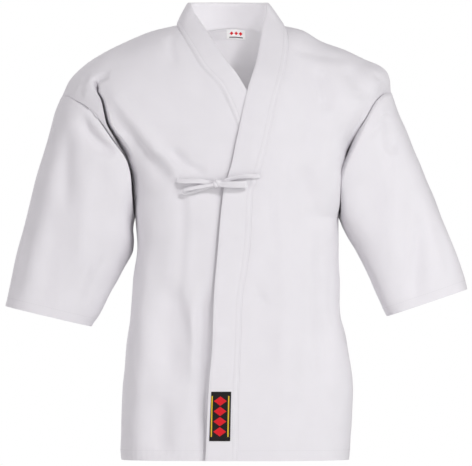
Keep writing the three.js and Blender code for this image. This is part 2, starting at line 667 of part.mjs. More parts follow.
// The band: one row for each point of the seam, from one hem round the neck to the other.
function bandRows() {
  const rows = [];
  const addFront = (side, levelIndex) => {
    const level = levels[levelIndex];
    const patch = side < 0 ? patches.front_right : patches.front_left;
    const seam = patch.grid[levelIndex][0].clone();
    const unfolded = frontPoint(side, level, seamAngle(side, level));
    const value = (column) => readTable(SIDES[side].band, unfolded.z, column);
    const edgeX = seam.x + value('acrossX');
    const edge = frontPoint(side, level, angleAtX(side, -1, level, edgeX));
    edge.x = edgeX;
    edge.z = seam.z + value('acrossZ');
    edge.y += value('lean');
    rows.push([seam, edge]);
  };
  for (let index = 0; index < levels.length; index += 1) addFront(-1, index);
  const topRow = patches.back.grid.at(-1);
  const startEdge = rows.at(-1)[1].clone();
  const endEdge = new THREE.Vector3(COLLAR_TOP.endX, startEdge.y, COLLAR_TOP.z);
  for (let column = 1; column < NECK_COLUMNS; column += 1) {
    const seam = topRow[FRONT_COLUMNS + column].clone();
    const turn = Math.PI * (1 - column / NECK_COLUMNS);
    const half = (endEdge.x - startEdge.x) / 2;
    const edge = new THREE.Vector3(
      (startEdge.x + endEdge.x) / 2 + half * Math.cos(turn),
      startEdge.y + COLLAR_TOP.depth * Math.pow(Math.sin(turn), 0.9),
      startEdge.z + COLLAR_TOP.rise * Math.sin(turn),
    );
    rows.push([seam, edge]);
  }
  for (let index = levels.length - 1; index >= 0; index -= 1) addFront(1, index);
  return rows;
}

const BAND_ACROSS = [0, 0.25, 0.5, 0.75, 1];
const bandGrid = bandRows().map(([seam, edge]) => (
  BAND_ACROSS.map((share) => seam.clone().lerp(edge, share))
));
const bandNormals = gridNormals(bandGrid, false);
turnOutwards(bandNormals, bandGrid, bodyCentre);
const bandOuter = offsetGrid(bandGrid, bandNormals, BAND_PROUD);
const bandInner = offsetGrid(bandGrid, bandNormals, BAND_PROUD - BAND_WALL);
geometries.collar_band = wallGeometry(
  drawBordersIn(bandOuter, false, BAND_SEAM_GAP),
  drawBordersIn(bandInner, false, BAND_SEAM_GAP),
  false,
);

// A point on a grid between its rows and columns.
function onGrid(grid, rowPosition, columnPosition) {
  const r = clamp(Math.floor(rowPosition), 0, grid.length - 2);
  const c = clamp(Math.floor(columnPosition), 0, grid[0].length - 2);
  const low = grid[r][c].clone().lerp(grid[r][c + 1], columnPosition - c);
  const high = grid[r + 1][c].clone().lerp(grid[r + 1][c + 1], columnPosition - c);
  return low.lerp(high, rowPosition - r);
}

// A thin piece laid on a grid, made from the grid's own points moved out.
function laidOn({ grid, normals, lift, rowFrom, rowTo, columns, rowCount, columnCount }) {
  const low = [];
  const high = [];
  for (let r = 0; r <= rowCount; r += 1) {
    const lowRow = [];
    const highRow = [];
    for (let c = 0; c <= columnCount; c += 1) {
      const from = rowFrom(c / columnCount);
      const row = from + (rowTo(c / columnCount) - from) * (r / rowCount);
      const column = columns[0] + (columns[1] - columns[0]) * (c / columnCount);
      const point = onGrid(grid, row, column);
      const normal = onGrid(normals, row, column).normalize();
      lowRow.push(point.clone().addScaledVector(normal, lift));
      highRow.push(point.clone().addScaledVector(normal, lift + Math.sign(lift) * LABEL_THICKNESS));
    }
    low.push(lowRow);
    high.push(highRow);
  }
  return wallGeometry(high, low, false);
}

// The band's row position at a height on the wearer's left front.
function bandRowAt(z) {
  const first = bandOuter.length - levels.length;
  for (let r = first; r < bandOuter.length - 1; r += 1) {
    const upper = bandOuter[r][2].z;
    const lower = bandOuter[r + 1][2].z;
    if (z <= upper && z >= lower) return r + (upper - z) / (upper - lower);
  }
  return bandOuter.length - 1;
}

const HEM_LABEL = { top: -639, foot: -725, from: 1.0, to: 3.62 };
geometries.hem_label = laidOn({
  grid: bandOuter,
  normals: bandNormals,
  lift: LAID_ON_GAP,
  rowFrom: () => bandRowAt(HEM_LABEL.top),
  rowTo: () => bandRowAt(HEM_LABEL.foot),
  columns: [HEM_LABEL.from, HEM_LABEL.to],
  rowCount: 6,
  columnCount: 3,
});

const NECK_LABEL = { halfWidth: 17, height: 20, seamShare: 0.06 };
const backPatch = patches.back;
const neckTop = backPatch.grid.length - 1;
const neckColumnAt = (x) => {
  const row = backPatch.grid[neckTop];
  for (let c = 1; c < row.length; c += 1) {
    if (row[c].x >= x) return c - 1 + (x - row[c - 1].x) / (row[c].x - row[c - 1].x);
  }
  return 0;
};
const neckRowAt = (column) => {
  const top = onGrid(backPatch.grid, neckTop, column);
  for (let r = neckTop - 0.02; r > 0; r -= 0.02) {
    if (top.distanceTo(onGrid(backPatch.grid, r, column)) >= NECK_LABEL.height) return r;
  }
  return 0;
};
const labelFoot = (share) => (
  neckRowAt(neckColumnAt(NECK_LABEL.halfWidth * (2 * share - 1)))
);
geometries.neck_label = laidOn({
  grid: backPatch.grid,
  normals: backPatch.normals,
  lift: -CLOTH_WALL - LAID_ON_GAP,
  rowFrom: (share) => neckTop - (neckTop - labelFoot(share)) * NECK_LABEL.seamShare,
  rowTo: labelFoot,
  columns: [neckColumnAt(-NECK_LABEL.halfWidth), neckColumnAt(NECK_LABEL.halfWidth)],
  rowCount: 3,
  columnCount: 4,
});

// A tie: a flat strip along a line of points, each with the direction that its face looks.
function stripGeometry(stations, width, thickness) {
  const outer = [];
  const inner = [];
  stations.forEach((station, index) => {
    const before = stations[Math.max(index - 1, 0)].point;
    const after = stations[Math.min(index + 1, stations.length - 1)].point;
    const along = after.clone().sub(before).normalize();
    const across = along.clone().cross(station.face).normalize().multiplyScalar(width / 2);
    const out = across.clone().cross(along).normalize().multiplyScalar(thickness / 2);
    if (out.dot(station.face) < 0) out.negate();
    const edge = (sign, step) => station.point.clone()
      .addScaledVector(across, sign).addScaledVector(out, step);
    outer.push([edge(-1, STRIP_EDGE), edge(-0.5, 1), edge(0.5, 1), edge(1, STRIP_EDGE)]);
    inner.push([edge(-1, -STRIP_EDGE), edge(-0.5, -1), edge(0.5, -1), edge(1, -STRIP_EDGE)]);
  });
  return wallGeometry(outer, inner, false);
}

// How far forward the jacket's front comes at a place.
function frontDepth(x, z) {
  let depth = 0;
  for (const grid of [patches.front_right.grid, patches.front_left.grid, bandOuter]) {
    for (let r = 0; r < grid.length - 1; r += 1) {
      for (let c = 0; c < grid[0].length - 1; c += 1) {
        const corners = [grid[r][c], grid[r][c + 1], grid[r + 1][c + 1], grid[r + 1][c]];
        depth = Math.min(depth, triangleDepth(corners[0], corners[1], corners[2], x, z));
        depth = Math.min(depth, triangleDepth(corners[0], corners[2], corners[3], x, z));
      }
    }
  }
  return depth;
}

function triangleDepth(a, b, c, x, z) {
  const area = (b.x - a.x) * (c.z - a.z) - (c.x - a.x) * (b.z - a.z);
  if (Math.abs(area) < 1e-9) return 0;
  const shareA = ((b.x - x) * (c.z - z) - (c.x - x) * (b.z - z)) / area;
  const shareB = ((c.x - x) * (a.z - z) - (a.x - x) * (c.z - z)) / area;
  const shareC = 1 - shareA - shareB;
  if (Math.min(shareA, shareB, shareC) < 0) return 0;
  return shareA * a.y + shareB * b.y + shareC * c.y;
}

// The most forward depth under a strip's width.
function depthUnder(x, z, width) {
  return Math.min(...[-0.5, 0, 0.5].map((share) => frontDepth(x, z + share * width)));
}

function tieStations(rows) {
  const curve = new THREE.CatmullRomCurve3(rows.map((row) => (
    new THREE.Vector3(row.x, depthUnder(row.x, row.z, TIE_WIDTH) - row.lift, row.z)
  )));
  const face = new THREE.Vector3(0, -1, 0);
  return curve.getPoints(rows.length * 2).map((point) => ({ point, face }));
}

// Each row is a point of the tie's middle line, from its sewn end to the knot.
const TIE_RIGHT_LINE = [
  { x: -104, z: -270, lift: 1.35 },
  { x: -96, z: -268, lift: 1.7 },
  { x: -82, z: -266, lift: 4.0 },
  { x: -66, z: -268, lift: 4.6 },
  { x: -54, z: -271, lift: 3.0 },
  { x: -45, z: -274, lift: 2.6 },
];
const TIE_LEFT_LINE = [
  { x: 33, z: -264, lift: 1.35 },
  { x: 22, z: -265, lift: 1.4 },
  { x: 8, z: -267, lift: 1.5 },
  { x: -8, z: -270, lift: 2.0 },
  { x: -17, z: -272, lift: 2.0 },
];
geometries.tie_right = stripGeometry(tieStations(TIE_RIGHT_LINE), TIE_RIGHT_WIDTH, TIE_THICKNESS);
geometries.tie_left = stripGeometry(tieStations(TIE_LEFT_LINE), TIE_LEFT_WIDTH, TIE_THICKNESS);

function toManifold(geometry) {
  const position = geometry.getAttribute('position');
  return new wasm.Manifold(new wasm.Mesh({
    numProp: 3,
    vertProperties: new Float32Array(position.array),
    triVerts: new Uint32Array(geometry.getIndex().array),
  }));
}

function fromManifold(solid) {
  const mesh = solid.getMesh();
  return bufferGeometry(Array.from(mesh.vertProperties), Array.from(mesh.triVerts));
}

// A loop of the bow: a strip that runs out from the knot and back on itself.
function loopGeometry(loop) {
  const steps = LOOP_STEPS;
  const along = new THREE.Vector3(loop.x1 - loop.x0, 0, loop.z1 - loop.z0);
  const across = new THREE.Vector3(along.z, 0, -along.x).normalize().multiplyScalar(loop.width / 2);
  const line = [];
  for (let step = 0; step < steps; step += 1) {
    const turn = (2 * Math.PI * step) / steps;
    const out = (1 - Math.cos(turn)) / 2;
    const belly = Math.sin(turn) * (0.4 + 0.6 * out);
    const x = loop.x0 + along.x * out;
    const z = loop.z0 + along.z * out;
    const base = Math.min(depthUnder(x, z, loop.width), loop.rearLimit(x));
    line.push(new THREE.Vector3(
      x,
      base - loop.lift - loop.halfDepth * (1 + belly),
      z + belly * loop.halfRise,
    ));
  }
  const outer = [];
  const inner = [];
  line.forEach((point, step) => {
    const next = line[(step + 1) % steps];
    const before = line[(step + steps - 1) % steps];
    const out = across.clone().cross(next.clone().sub(before)).setLength(TIE_THICKNESS / 2);
    const edge = (sign, lift) => point.clone().addScaledVector(across, sign).addScaledVector(out, lift);
    outer.push([edge(-1, 1), edge(0, 1), edge(1, 1)]);
    inner.push([edge(-1, -1), edge(0, -1), edge(1, -1)]);
  });
  const turned = (grid) => grid[0].map((_, c) => grid.map((row) => row[c]));
  return wallGeometry(turned(outer), turned(inner), true);
}

function ellipsoid(centre, radii) {
  const rings = KNOT_RINGS;
  const around = KNOT_AROUND;
  const positions = [centre.x, centre.y, centre.z - radii.z];
  for (let r = 1; r < rings; r += 1) {
    const tilt = (Math.PI * r) / rings;
    for (let c = 0; c < around; c += 1) {
      const turn = (2 * Math.PI * c) / around;
      positions.push(
        centre.x + radii.x * Math.sin(tilt) * Math.cos(turn),
        centre.y + radii.y * Math.sin(tilt) * Math.sin(turn),
        centre.z - radii.z * Math.cos(tilt),
      );
    }
  }
  positions.push(centre.x, centre.y, centre.z + radii.z);
  const top = positions.length / 3 - 1;
  const faces = [];
  const at = (r, c) => 1 + (r - 1) * around + (c % around);
  for (let c = 0; c < around; c += 1) {
    faces.push(0, at(1, c + 1), at(1, c));
    faces.push(top, at(rings - 1, c), at(rings - 1, c + 1));
    for (let r = 1; r < rings - 1; r += 1) {
      faces.push(at(r, c), at(r, c + 1), at(r + 1, c + 1));
      faces.push(at(r, c), at(r + 1, c + 1), at(r + 1, c));
    }
  }
  return bufferGeometry(positions, faces);
}

const KNOT = { x: -34, z: -277, radiusX: 9, radiusY: 5.5, radiusZ: 7.5 };
const knotRear = depthUnder(KNOT.x, KNOT.z, TIE_WIDTH);
const knotY = knotRear - LAID_ON_GAP - KNOT.radiusY;

// Beside the knot the loops start at its depth.
const besideKnot = (x) => (Math.abs(x - KNOT.x) < 14 ? knotRear : 0);
const BOW_LOOPS = [
  {
    x0: -32, z0: -278, x1: 19, z1: -277, lift: 4.6, halfDepth: 3.2, halfRise: 0, width: 12.5,
    rearLimit: besideKnot,
  },
  {
    x0: -37, z0: -280, x1: -90, z1: -291, lift: 3.6, halfDepth: 3.6, halfRise: 1.6, width: 11,
    rearLimit: besideKnot,
  },
];
let bow = toManifold(ellipsoid(
  new THREE.Vector3(KNOT.x, knotY, KNOT.z),
  new THREE.Vector3(KNOT.radiusX, KNOT.radiusY, KNOT.radiusZ),
));
for (const loop of BOW_LOOPS) bow = bow.add(toManifold(loopGeometry(loop)));
geometries.bow_knot = fromManifold(bow);

// Colours and the finished group
const COTTON = { color: 0xe9e6ea, roughness: 0.95, metalness: 0 };
const LOOKS = {
  hem_label: { color: 0x1c1a1a, roughness: 0.8, metalness: 0 },
  neck_label: { color: 0xf4f2f2, roughness: 0.8, metalness: 0 },
};

const jacket = new THREE.Group();
for (const [name, geometry] of Object.entries(geometries)) {
  const mesh = new THREE.Mesh(geometry, new THREE.MeshStandardMaterial(LOOKS[name] ?? COTTON));
  mesh.name = name;
  jacket.add(mesh);
}

export default jacket;
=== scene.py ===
# %% [markdown]
# A kendo jacket is a wide cotton coat that wraps left over right and is held by a small bow at the
# chest. Here it stands filled, as if someone unseen wore it. A cloth simulation could hang it on a
# body, but its look comes from a few known folds, so each panel is a grid worked out from its
# sizes. That keeps every seam where two panels share the same points.

# %% Load the fixed model
import json
import math

import bpy
import numpy as np
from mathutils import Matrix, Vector

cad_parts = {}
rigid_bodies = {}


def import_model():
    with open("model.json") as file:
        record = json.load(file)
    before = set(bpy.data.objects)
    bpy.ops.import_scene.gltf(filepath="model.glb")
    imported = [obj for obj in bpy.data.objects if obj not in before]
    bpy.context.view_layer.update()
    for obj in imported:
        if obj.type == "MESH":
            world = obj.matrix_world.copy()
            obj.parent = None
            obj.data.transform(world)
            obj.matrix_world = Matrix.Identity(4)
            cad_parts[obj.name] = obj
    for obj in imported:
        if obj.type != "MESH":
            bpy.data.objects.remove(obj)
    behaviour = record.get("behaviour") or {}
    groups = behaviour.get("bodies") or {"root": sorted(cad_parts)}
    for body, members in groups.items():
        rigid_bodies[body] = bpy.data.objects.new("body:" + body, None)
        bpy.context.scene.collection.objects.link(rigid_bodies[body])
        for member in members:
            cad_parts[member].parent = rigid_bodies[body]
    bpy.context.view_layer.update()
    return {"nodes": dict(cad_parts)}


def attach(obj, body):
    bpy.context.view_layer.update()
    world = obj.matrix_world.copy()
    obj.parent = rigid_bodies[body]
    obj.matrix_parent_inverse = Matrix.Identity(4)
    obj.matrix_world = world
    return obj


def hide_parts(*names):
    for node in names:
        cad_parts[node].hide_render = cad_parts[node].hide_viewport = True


for thing in list(bpy.data.objects):
    bpy.data.objects.remove(thing)
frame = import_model()
scene = bpy.context.scene
print("nodes:", sorted(frame["nodes"]))

# %% [markdown]
# A product photograph is taken from far away with a long lens, so that near and far parts keep
# their true widths. The camera looks straight at the front. The width of the picture at the
# jacket's middle plane sets the lens.

# %% The camera
PICTURE_WIDTH = 0.8307
CAMERA_DISTANCE = 12.0
CAMERA_HEIGHT = -0.3626
SENSOR_WIDTH = 36.0
FARTHEST_SEEN = 200
camera_data = bpy.data.cameras.new("camera")
camera_data.sensor_width = SENSOR_WIDTH
camera_data.lens = SENSOR_WIDTH * CAMERA_DISTANCE / PICTURE_WIDTH
camera_data.clip_end = FARTHEST_SEEN
camera = bpy.data.objects.new("camera", camera_data)
camera.location = (0, -CAMERA_DISTANCE, CAMERA_HEIGHT)
camera.rotation_euler = (math.radians(90), 0, 0)
scene.collection.objects.link(camera)
scene.camera = camera
print("lens", round(camera_data.lens, 1), "mm")

# %% [markdown]
# The room of a product photograph is white all round. White cloth shows its form only where it
# turns away from the light, so the even light of the room has to stay low, while the camera still
# sees pure white behind the jacket. A switch on the kind of ray gives both.

# %% The room
ROOM_LIGHT = 0.30
ROOM_COLOUR = (1.0, 0.965, 0.995, 1)
SEEN_COLOUR = (1, 1, 1, 1)
world = bpy.data.worlds.new("room")
world.use_nodes = True
scene.world = world
room = world.node_tree
for node in list(room.nodes):
    room.nodes.remove(node)
backgrounds = {}
for name, colour, strength in (("seen", SEEN_COLOUR, 1.0), ("lit", ROOM_COLOUR, ROOM_LIGHT)):
    background = room.nodes.new("ShaderNodeBackground")
    background.inputs["Color"].default_value = colour
    background.inputs["Strength"].default_value = strength
    backgrounds[name] = background
path = room.nodes.new("ShaderNodeLightPath")
either = room.nodes.new("ShaderNodeMixShader")
world_out = room.nodes.new("ShaderNodeOutputWorld")
room.links.new(path.outputs["Is Camera Ray"], either.inputs["Fac"])
room.links.new(backgrounds["lit"].outputs[0], either.inputs[1])
room.links.new(backgrounds["seen"].outputs[0], either.inputs[2])
room.links.new(either.outputs[0], world_out.inputs["Surface"])
scene.view_settings.view_transform = "Standard"
print("room light", ROOM_LIGHT)

# %% [markdown]
# Lamps can be small and sharp or large and soft. White cloth is lit softly from high on one side,
# so the main lamp stands high on the viewer's right, and a near one beside it makes that half
# brighter. A wide one on the left reaches the inner side of the far sleeve, and one behind serves
# the views of the back. A tiny one in the neck opening stands in for the light that a white room
# throws into it.

# %% The lamps
MIDDLE = (0, 0, -0.38)
LAMPS = (
    # name, place, aim, size, power, colour
    ("main", (2.30, -4.40, 3.05), MIDDLE, 0.9, 152, (1.0, 0.990, 1.0)),
    ("right", (1.35, -1.55, -0.36), MIDDLE, 0.8, 9.5, (0.985, 1.0, 0.985)),
    ("left", (-3.5, -2.3, -0.30), MIDDLE, 2.4, 44, (1.0, 0.985, 1.0)),
    ("back", (-3.0, 4.6, 1.7), MIDDLE, 2.0, 120, (1.0, 0.990, 1.0)),
    ("neck", (0.003, -0.035, -0.050), (0.003, 0.09, -0.012), 0.045, 0.076, (1.0, 0.99, 0.99)),
)
for name, place, aim, size, power, colour in LAMPS:
    light = bpy.data.lights.new(name, "AREA")
    light.color = colour
    light.size = size
    light.energy = power
    lamp = bpy.data.objects.new(name, light)
    lamp.location = place
    lamp.visible_camera = False
    lamp.rotation_euler = (Vector(aim) - Vector(place)).to_track_quat("-Z", "Y").to_euler()
    scene.collection.objects.link(lamp)
print("lamps", [row[0] for row in LAMPS])

# %% [markdown]
# The floor is one pale square below the hem, which shows in the views from above.

# %% The floor
FLOOR_HEIGHT = -0.98
FLOOR_HALF = 1.6
CORNERS = ((-1, -1), (1, -1), (1, 1), (-1, 1))
floor_mesh = bpy.data.meshes.new("floor")
floor_points = [(x * FLOOR_HALF, y * FLOOR_HALF, FLOOR_HEIGHT) for x, y in CORNERS]
floor_mesh.from_pydata(floor_points, [], [(0, 1, 2, 3)])
floor = bpy.data.objects.new("floor", floor_mesh)
scene.collection.objects.link(floor)
floor_material = bpy.data.materials.new("pale_floor")
floor_material.use_nodes = True
floor_shader = floor_material.node_tree.nodes["Principled BSDF"]
floor_shader.inputs["Base Color"].default_value = (0.86, 0.86, 0.86, 1)
floor_shader.inputs["Roughness"].default_value = 0.9
floor_mesh.materials.append(floor_material)
print("floor at", FLOOR_HEIGHT)

# %% [markdown]
# The jacket's sizes are kept in short tables, one row per section. A smooth curve through the rows
# gives any place between them. The curve never overshoots, so the outline has no waves that the
# tables don't ask for. All sizes here are millimetres.


# %% Reading a table
def table(columns, *rows):
    return {name: np.array([row[i] for row in rows], float) for i, name in enumerate(columns.split())}


def read_table(rows, position, name):
    at, value = rows["at"], rows[name]
    position = np.clip(np.asarray(position, float), at[0], at[-1])
    slope = np.diff(value) / np.diff(at)
    tangent = np.zeros(len(at))
    tangent[0], tangent[-1] = slope[0], slope[-1]
    product = slope[:-1] * slope[1:]
    total = np.where(product > 0, slope[:-1] + slope[1:], 1)
    tangent[1:-1] = np.where(product > 0, 2 * product / total, 0)
    index = np.clip(np.searchsorted(at, position, side="left") - 1, 0, len(at) - 2)
    span = at[index + 1] - at[index]
    share = (position - at[index]) / span
    square, cube = share**2, share**3
    return (
        (2 * cube - 3 * square + 1) * value[index]
        + (cube - 2 * square + share) * span * tangent[index]
        + (3 * square - 2 * cube) * value[index + 1]
        + (cube - square) * span * tangent[index + 1]
    )


print("halfway between rows of 0 and 4:", read_table(table("at z", (0, 0), (2, 4)), 1, "z"))


# %% [markdown]
# Three small functions shape nearly everything below. ease is a soft step from 0 to 1, bump is a
# soft hill round 0, and signed_power bends a circle towards a square with round corners. Drawn
# curves could do the same, but a sum is easier to repeat on thousands of points.


# %% Soft steps and bumps
def ease(value, start, stop):
    share = np.clip((np.asarray(value, float) - start) / (stop - start), 0, 1)
    return share * share * (3 - 2 * share)


def signed_power(value, power):
    return np.sign(value) * np.abs(value) ** power


def bump(distance, width):
    return np.exp(-((distance / width) ** 2))


print("a bump, one width away from its middle:", round(float(bump(1.0, 1.0)), 3))


# %% [markdown]
# The body is a tube that is wider than it is deep. Each height has a left and a right side seam, a
# front depth and a back depth. The last column says how square the tube is as seen from above: 2 is
# an ellipse, and a larger number fills out its corners.

# %% Sizes of the body
UNDERARM_Z = -335.0
HEM_Z = -760.0
TORSO = table(
    "at left right front back square",
    (-760, -202, 199, -120, 118, 3.4),
    (-719, -202, 201, -119, 118, 3.4),
    (-632, -198, 205, -117, 114, 3.4),
    (-551, -190, 194, -115, 106, 3.4),
    (-503, -185, 183, -114, 102, 3.4),
    (-445, -180, 180, -114, 99, 3.3),
    (-385, -173, 179, -115, 101, 3.3),
    (-335, -177, 180, -116, 104, 3.3),
)
print("widest", TORSO["right"].max() - TORSO["left"].min(), "mm")

# %% [markdown]
# Above the underarm the tube closes towards the shoulder ridge. Here a row's place is its share of
# the way up, and the front that lies over the other is the squarest part.

# %% How square the shoulders are
PLAN_SQUARENESS = table(
    "at front front_left back",
    (0, 3.3, 3.3, 3.3),
    (0.12, 3.3, 3.6, 3.1),
    (0.35, 3.4, 5.0, 2.8),
    (0.6, 3.2, 5.0, 2.6),
    (0.8, 2.7, 4.0, 2.4),
    (0.94, 2.3, 2.8, 2.3),
    (1, 2.2, 2.2, 2.2),
)
print("squarest", PLAN_SQUARENESS["front_left"].max())

# %% [markdown]
# The ridge is where front and back meet on top, and the eye reads it as the shoulder. From its end
# the armhole seam runs down to the underarm. The two sides of a worn jacket never hang alike, so
# each has its own rows: how far the seam bows towards the neck and how deep it lies, in front and
# behind, and how far the cloth tucks in beside it.

# %% Shoulders and armholes
RIDGE_RIGHT_WEARER = table(
    "at z", (0.342, 3), (0.48, -7), (0.626, -25), (0.82, -56), (0.901, -75), (0.96, -95), (1, -121)
)
RIDGE_LEFT_WEARER = table(
    "at z",
    (0.31, 2), (0.419, -5), (0.549, -25), (0.7, -40), (0.84, -58),
    (0.92, -67), (0.971, -78), (0.993, -93), (1, -115),
)
ARMHOLE_RIGHT_WEARER = table(
    "at bow_front y_front bow_back y_back tuck_front tuck_back",
    (0, 0, 0, 0, 0, 0, 0),
    (0.03, 8, -25, 5, 20, 0, 0),
    (0.08, 16, -44, 9, 34, 0, 0),
    (0.17, 28, -61, 15, 48, 0, 0),
    (0.27, 34, -71, 19, 57, 0, 0),
    (0.44, 37, -73, 22, 64, 0, 2),
    (0.5, 38, -66, 22, 63, 2, 4),
    (0.6, 40, -44, 20, 59, 7, 7),
    (0.7, 35, -28, 16, 50, 11, 10),
    (0.85, 17, -12, 8, 29, 10, 6),
    (0.95, 5, -4, 3, 12, 3, 2),
    (1, 0, 0, 0, 0, 0, 0),
)
ARMHOLE_LEFT_WEARER = table(
    "at bow_front y_front bow_back y_back tuck_front tuck_back",
    (0, 0, 0, 0, 0, 0, 0),
    (0.04, 12, -30, 5, 22, 0, 0),
    (0.12, 20, -52, 12, 42, 0, 0),
    (0.25, 24, -58, 18, 55, 0, 0),
    (0.38, 28, -34, 22, 62, 3, 2),
    (0.52, 30, -18, 22, 63, 6, 4),
    (0.64, 30, -32, 19, 57, 1, 6),
    (0.79, 17, -34, 11, 40, 0, 7),
    (0.9, 6, -18, 5, 22, 0, 4),
    (0.96, 2, -7, 2, 10, 0, 1),
    (1, 0, 0, 0, 0, 0, 0),
)
print("armhole rows", len(ARMHOLE_RIGHT_WEARER["at"]), len(ARMHOLE_LEFT_WEARER["at"]))

# %% [markdown]
# A sleeve could be a plain cone, but a worn one is flattened and bends a little. Its rows go from
# the armhole, 0, to the cuff, 1: the place of its outer and of its inner edge as seen from the
# front, how deep it is in front and behind, and how far its middle bows.

# %% Sizes of the sleeves
SLEEVE_RIGHT_WEARER = table(
    "at out_x out_z in_x in_z front back bow",
    (0, -306, -121, -177, -335, -78, 70, 36),
    (0.12, -319, -148, -182, -356, -79, 72, 28),
    (0.24, -334, -203, -181, -375, -78, 73, 22),
    (0.36, -348, -252, -182, -391, -77, 73, 15),
    (0.56, -367, -328, -203, -432, -74, 72, 9),
    (0.78, -388, -408, -228, -479, -70, 69, 4),
    (1, -406, -491, -254, -527, -66, 66, 0),
)
SLEEVE_LEFT_WEARER = table(
    "at out_x out_z in_x in_z front back bow",
    (0, 273, -115, 180, -335, -77, 70, 24),
    (0.12, 284, -148, 187, -350, -77, 72, 20),
    (0.24, 297, -180, 196, -366, -77, 73, 16),
    (0.4, 321, -236, 212, -393, -76, 73, 11),
    (0.6, 350, -306, 230, -432, -74, 71, 8),
    (0.8, 380, -380, 247, -471, -70, 69, 4),
    (1, 407, -461, 265, -509, -66, 66, 0),
)
print("cuff edges", SLEEVE_RIGHT_WEARER["out_x"][-1], SLEEVE_LEFT_WEARER["out_x"][-1])

# %% [markdown]
# The band follows the front's edge. Each row is a height: where the seam lies, how far the band's
# free edge is from it across and up, and how far that edge stands back from the cloth's surface,
# which makes the band roll at the neck.

# %% The band's course
BAND_RIGHT_WEARER = table(
    "at seam_x across_x across_z lean",
    (-760, 16, 52, 0, 0),
    (-343, 20, 52, 0, 0),
    (-270, 20, 52, 2, 0),
    (-212, 14, 48, 10, 1),
    (-174, 1, 42, 18, 3),
    (-110, -28, 34, 19, 4),
    (-72, -61, 35, 23, 6),
    (-40, -80, 31, 29, 12),
    (-15, -95, 26, 34, 16),
    (3, -104.7, 21, 40, 8),
)
BAND_LEFT_WEARER = table(
    "at seam_x across_x across_z lean",
    (-760, 3.5, -57, 0, 0),
    (-639, 5, -53, 0, 0),
    (-551, 9, -50, 0, 0),
    (-480, 11, -50, 0, 0),
    (-436, 18, -54, 0, 0),
    (-369, 26, -56, 0, 0),
    (-300, 29, -52, 3, 0.8),
    (-254, 42, -50, 12, 3.0),
    (-212, 54, -53, 14, 3.8),
    (-137, 70, -52, 17, 4.2),
    (-60, 89, -51, 11, 6),
    (-30, 92, -47, 22, 12),
    (-12, 91, -40, 32, 16),
    (2, 85, -29, 41, 8),
)
print("band rows", len(BAND_RIGHT_WEARER["at"]), len(BAND_LEFT_WEARER["at"]))

# %% [markdown]
# The two sides are made by the same functions. A side is -1 for the wearer's right, which the
# viewer sees on the left, and 1 for the other, and this table gives each side its own rows.

# %% Both sides together
SIDES = {
    -1: dict(
        ridge=RIDGE_RIGHT_WEARER, armhole=ARMHOLE_RIGHT_WEARER, sleeve=SLEEVE_RIGHT_WEARER,
        band=BAND_RIGHT_WEARER, torso="left", depth_settled=0.04, sleeve_square=2.35,
    ),
    1: dict(
        ridge=RIDGE_LEFT_WEARER, armhole=ARMHOLE_LEFT_WEARER, sleeve=SLEEVE_LEFT_WEARER,
        band=BAND_LEFT_WEARER, torso="right", depth_settled=0.07, sleeve_square=3.4,
    ),
}
for entry in SIDES.values():
    entry["neck_share"] = entry["band"]["seam_x"][-1] / entry["sleeve"]["out_x"][0]

print("the neck's share of each shoulder", [round(entry["neck_share"], 3) for entry in SIDES.values()])

# %% [markdown]
# Every panel is a grid of points in rows and columns, and all the panels of the body use the same
# rows, so that they meet point by point at the seams. A level is one row: its height below the
# underarm, and its share of the way from the underarm to the shoulder ridge. More rows show finer
# folds but make a heavier model, so there are only as many as the folds need.

# %% Rows of the body
LOWER_ROWS = 80
UPPER_ROWS = 130
level_z = np.concatenate([np.linspace(HEM_Z, UNDERARM_Z, LOWER_ROWS), np.full(UPPER_ROWS, UNDERARM_Z)])
level_share = np.concatenate(
    [np.zeros(LOWER_ROWS), (1 - np.cos(np.pi * np.arange(1, UPPER_ROWS + 1) / UPPER_ROWS)) / 2]
)
print("rows of the body", len(level_z))

# %% [markdown]
# A panel ends at the side seam below the underarm and at the armhole above it. Near the hem the
# side seam is left open as a slit, so that the wearer can stride, and there the front's edge and
# the back's move a little apart.

# %% The armhole and the side
SLIT_TOP_Z = -503.0
SLIT_HALF_OPENING = 7.0


def armhole_point(side, face, share):
    armhole, sleeve = SIDES[side]["armhole"], SIDES[side]["sleeve"]
    out_x, out_z = sleeve["out_x"][0], sleeve["out_z"][0]
    along_x, along_z = sleeve["in_x"][0] - out_x, sleeve["in_z"][0] - out_z
    length = math.hypot(along_x, along_z)
    suffix = "front" if face < 0 else "back"
    down = 1 - np.asarray(share, float)
    bow = read_table(armhole, down, "bow_" + suffix)
    return (
        out_x + along_x * down - (side * abs(along_z) / length) * bow,
        read_table(armhole, down, "y_" + suffix),
        out_z + along_z * down + (abs(along_x) / length) * bow,
    )


def side_point(side, face, z, share):
    low = np.asarray(share) <= 0
    x, y, height = armhole_point(side, face, share)
    opening = face * SLIT_HALF_OPENING * ease(z, SLIT_TOP_Z, HEM_Z)
    return (
        np.where(low, read_table(TORSO, z, SIDES[side]["torso"]), x),
        np.where(low, opening, y),
        np.where(low, z, height),
    )


UNDERARMS = [np.array([float(v) for v in side_point(side, -1, UNDERARM_Z, 0.0)]) for side in (-1, 1)]
print("underarms at", [[round(float(v)) for v in place] for place in UNDERARMS])

# %% [markdown]
# Every point of the body comes from one function. It takes a level and an angle round the tube,
# from 0 at the side to a quarter turn at the middle of the face. Sculpting could do this too, but a
# function gives the panels and the band the very same surface.

# %% A point of the body
NECK_HUMP = 41.0
FRONT_ROUNDNESS = 2.5
BACK_ROUNDNESS = 6.0
TUCK_POWER = 1.5
SIDE_HOLD = 4


def ridge_height(side, out_share):
    entry = SIDES[side]
    in_neck = 1 - np.clip(np.asarray(out_share) / entry["neck_share"], 0, 1) ** 2
    return read_table(entry["ridge"], out_share, "z") + NECK_HUMP * in_neck**2


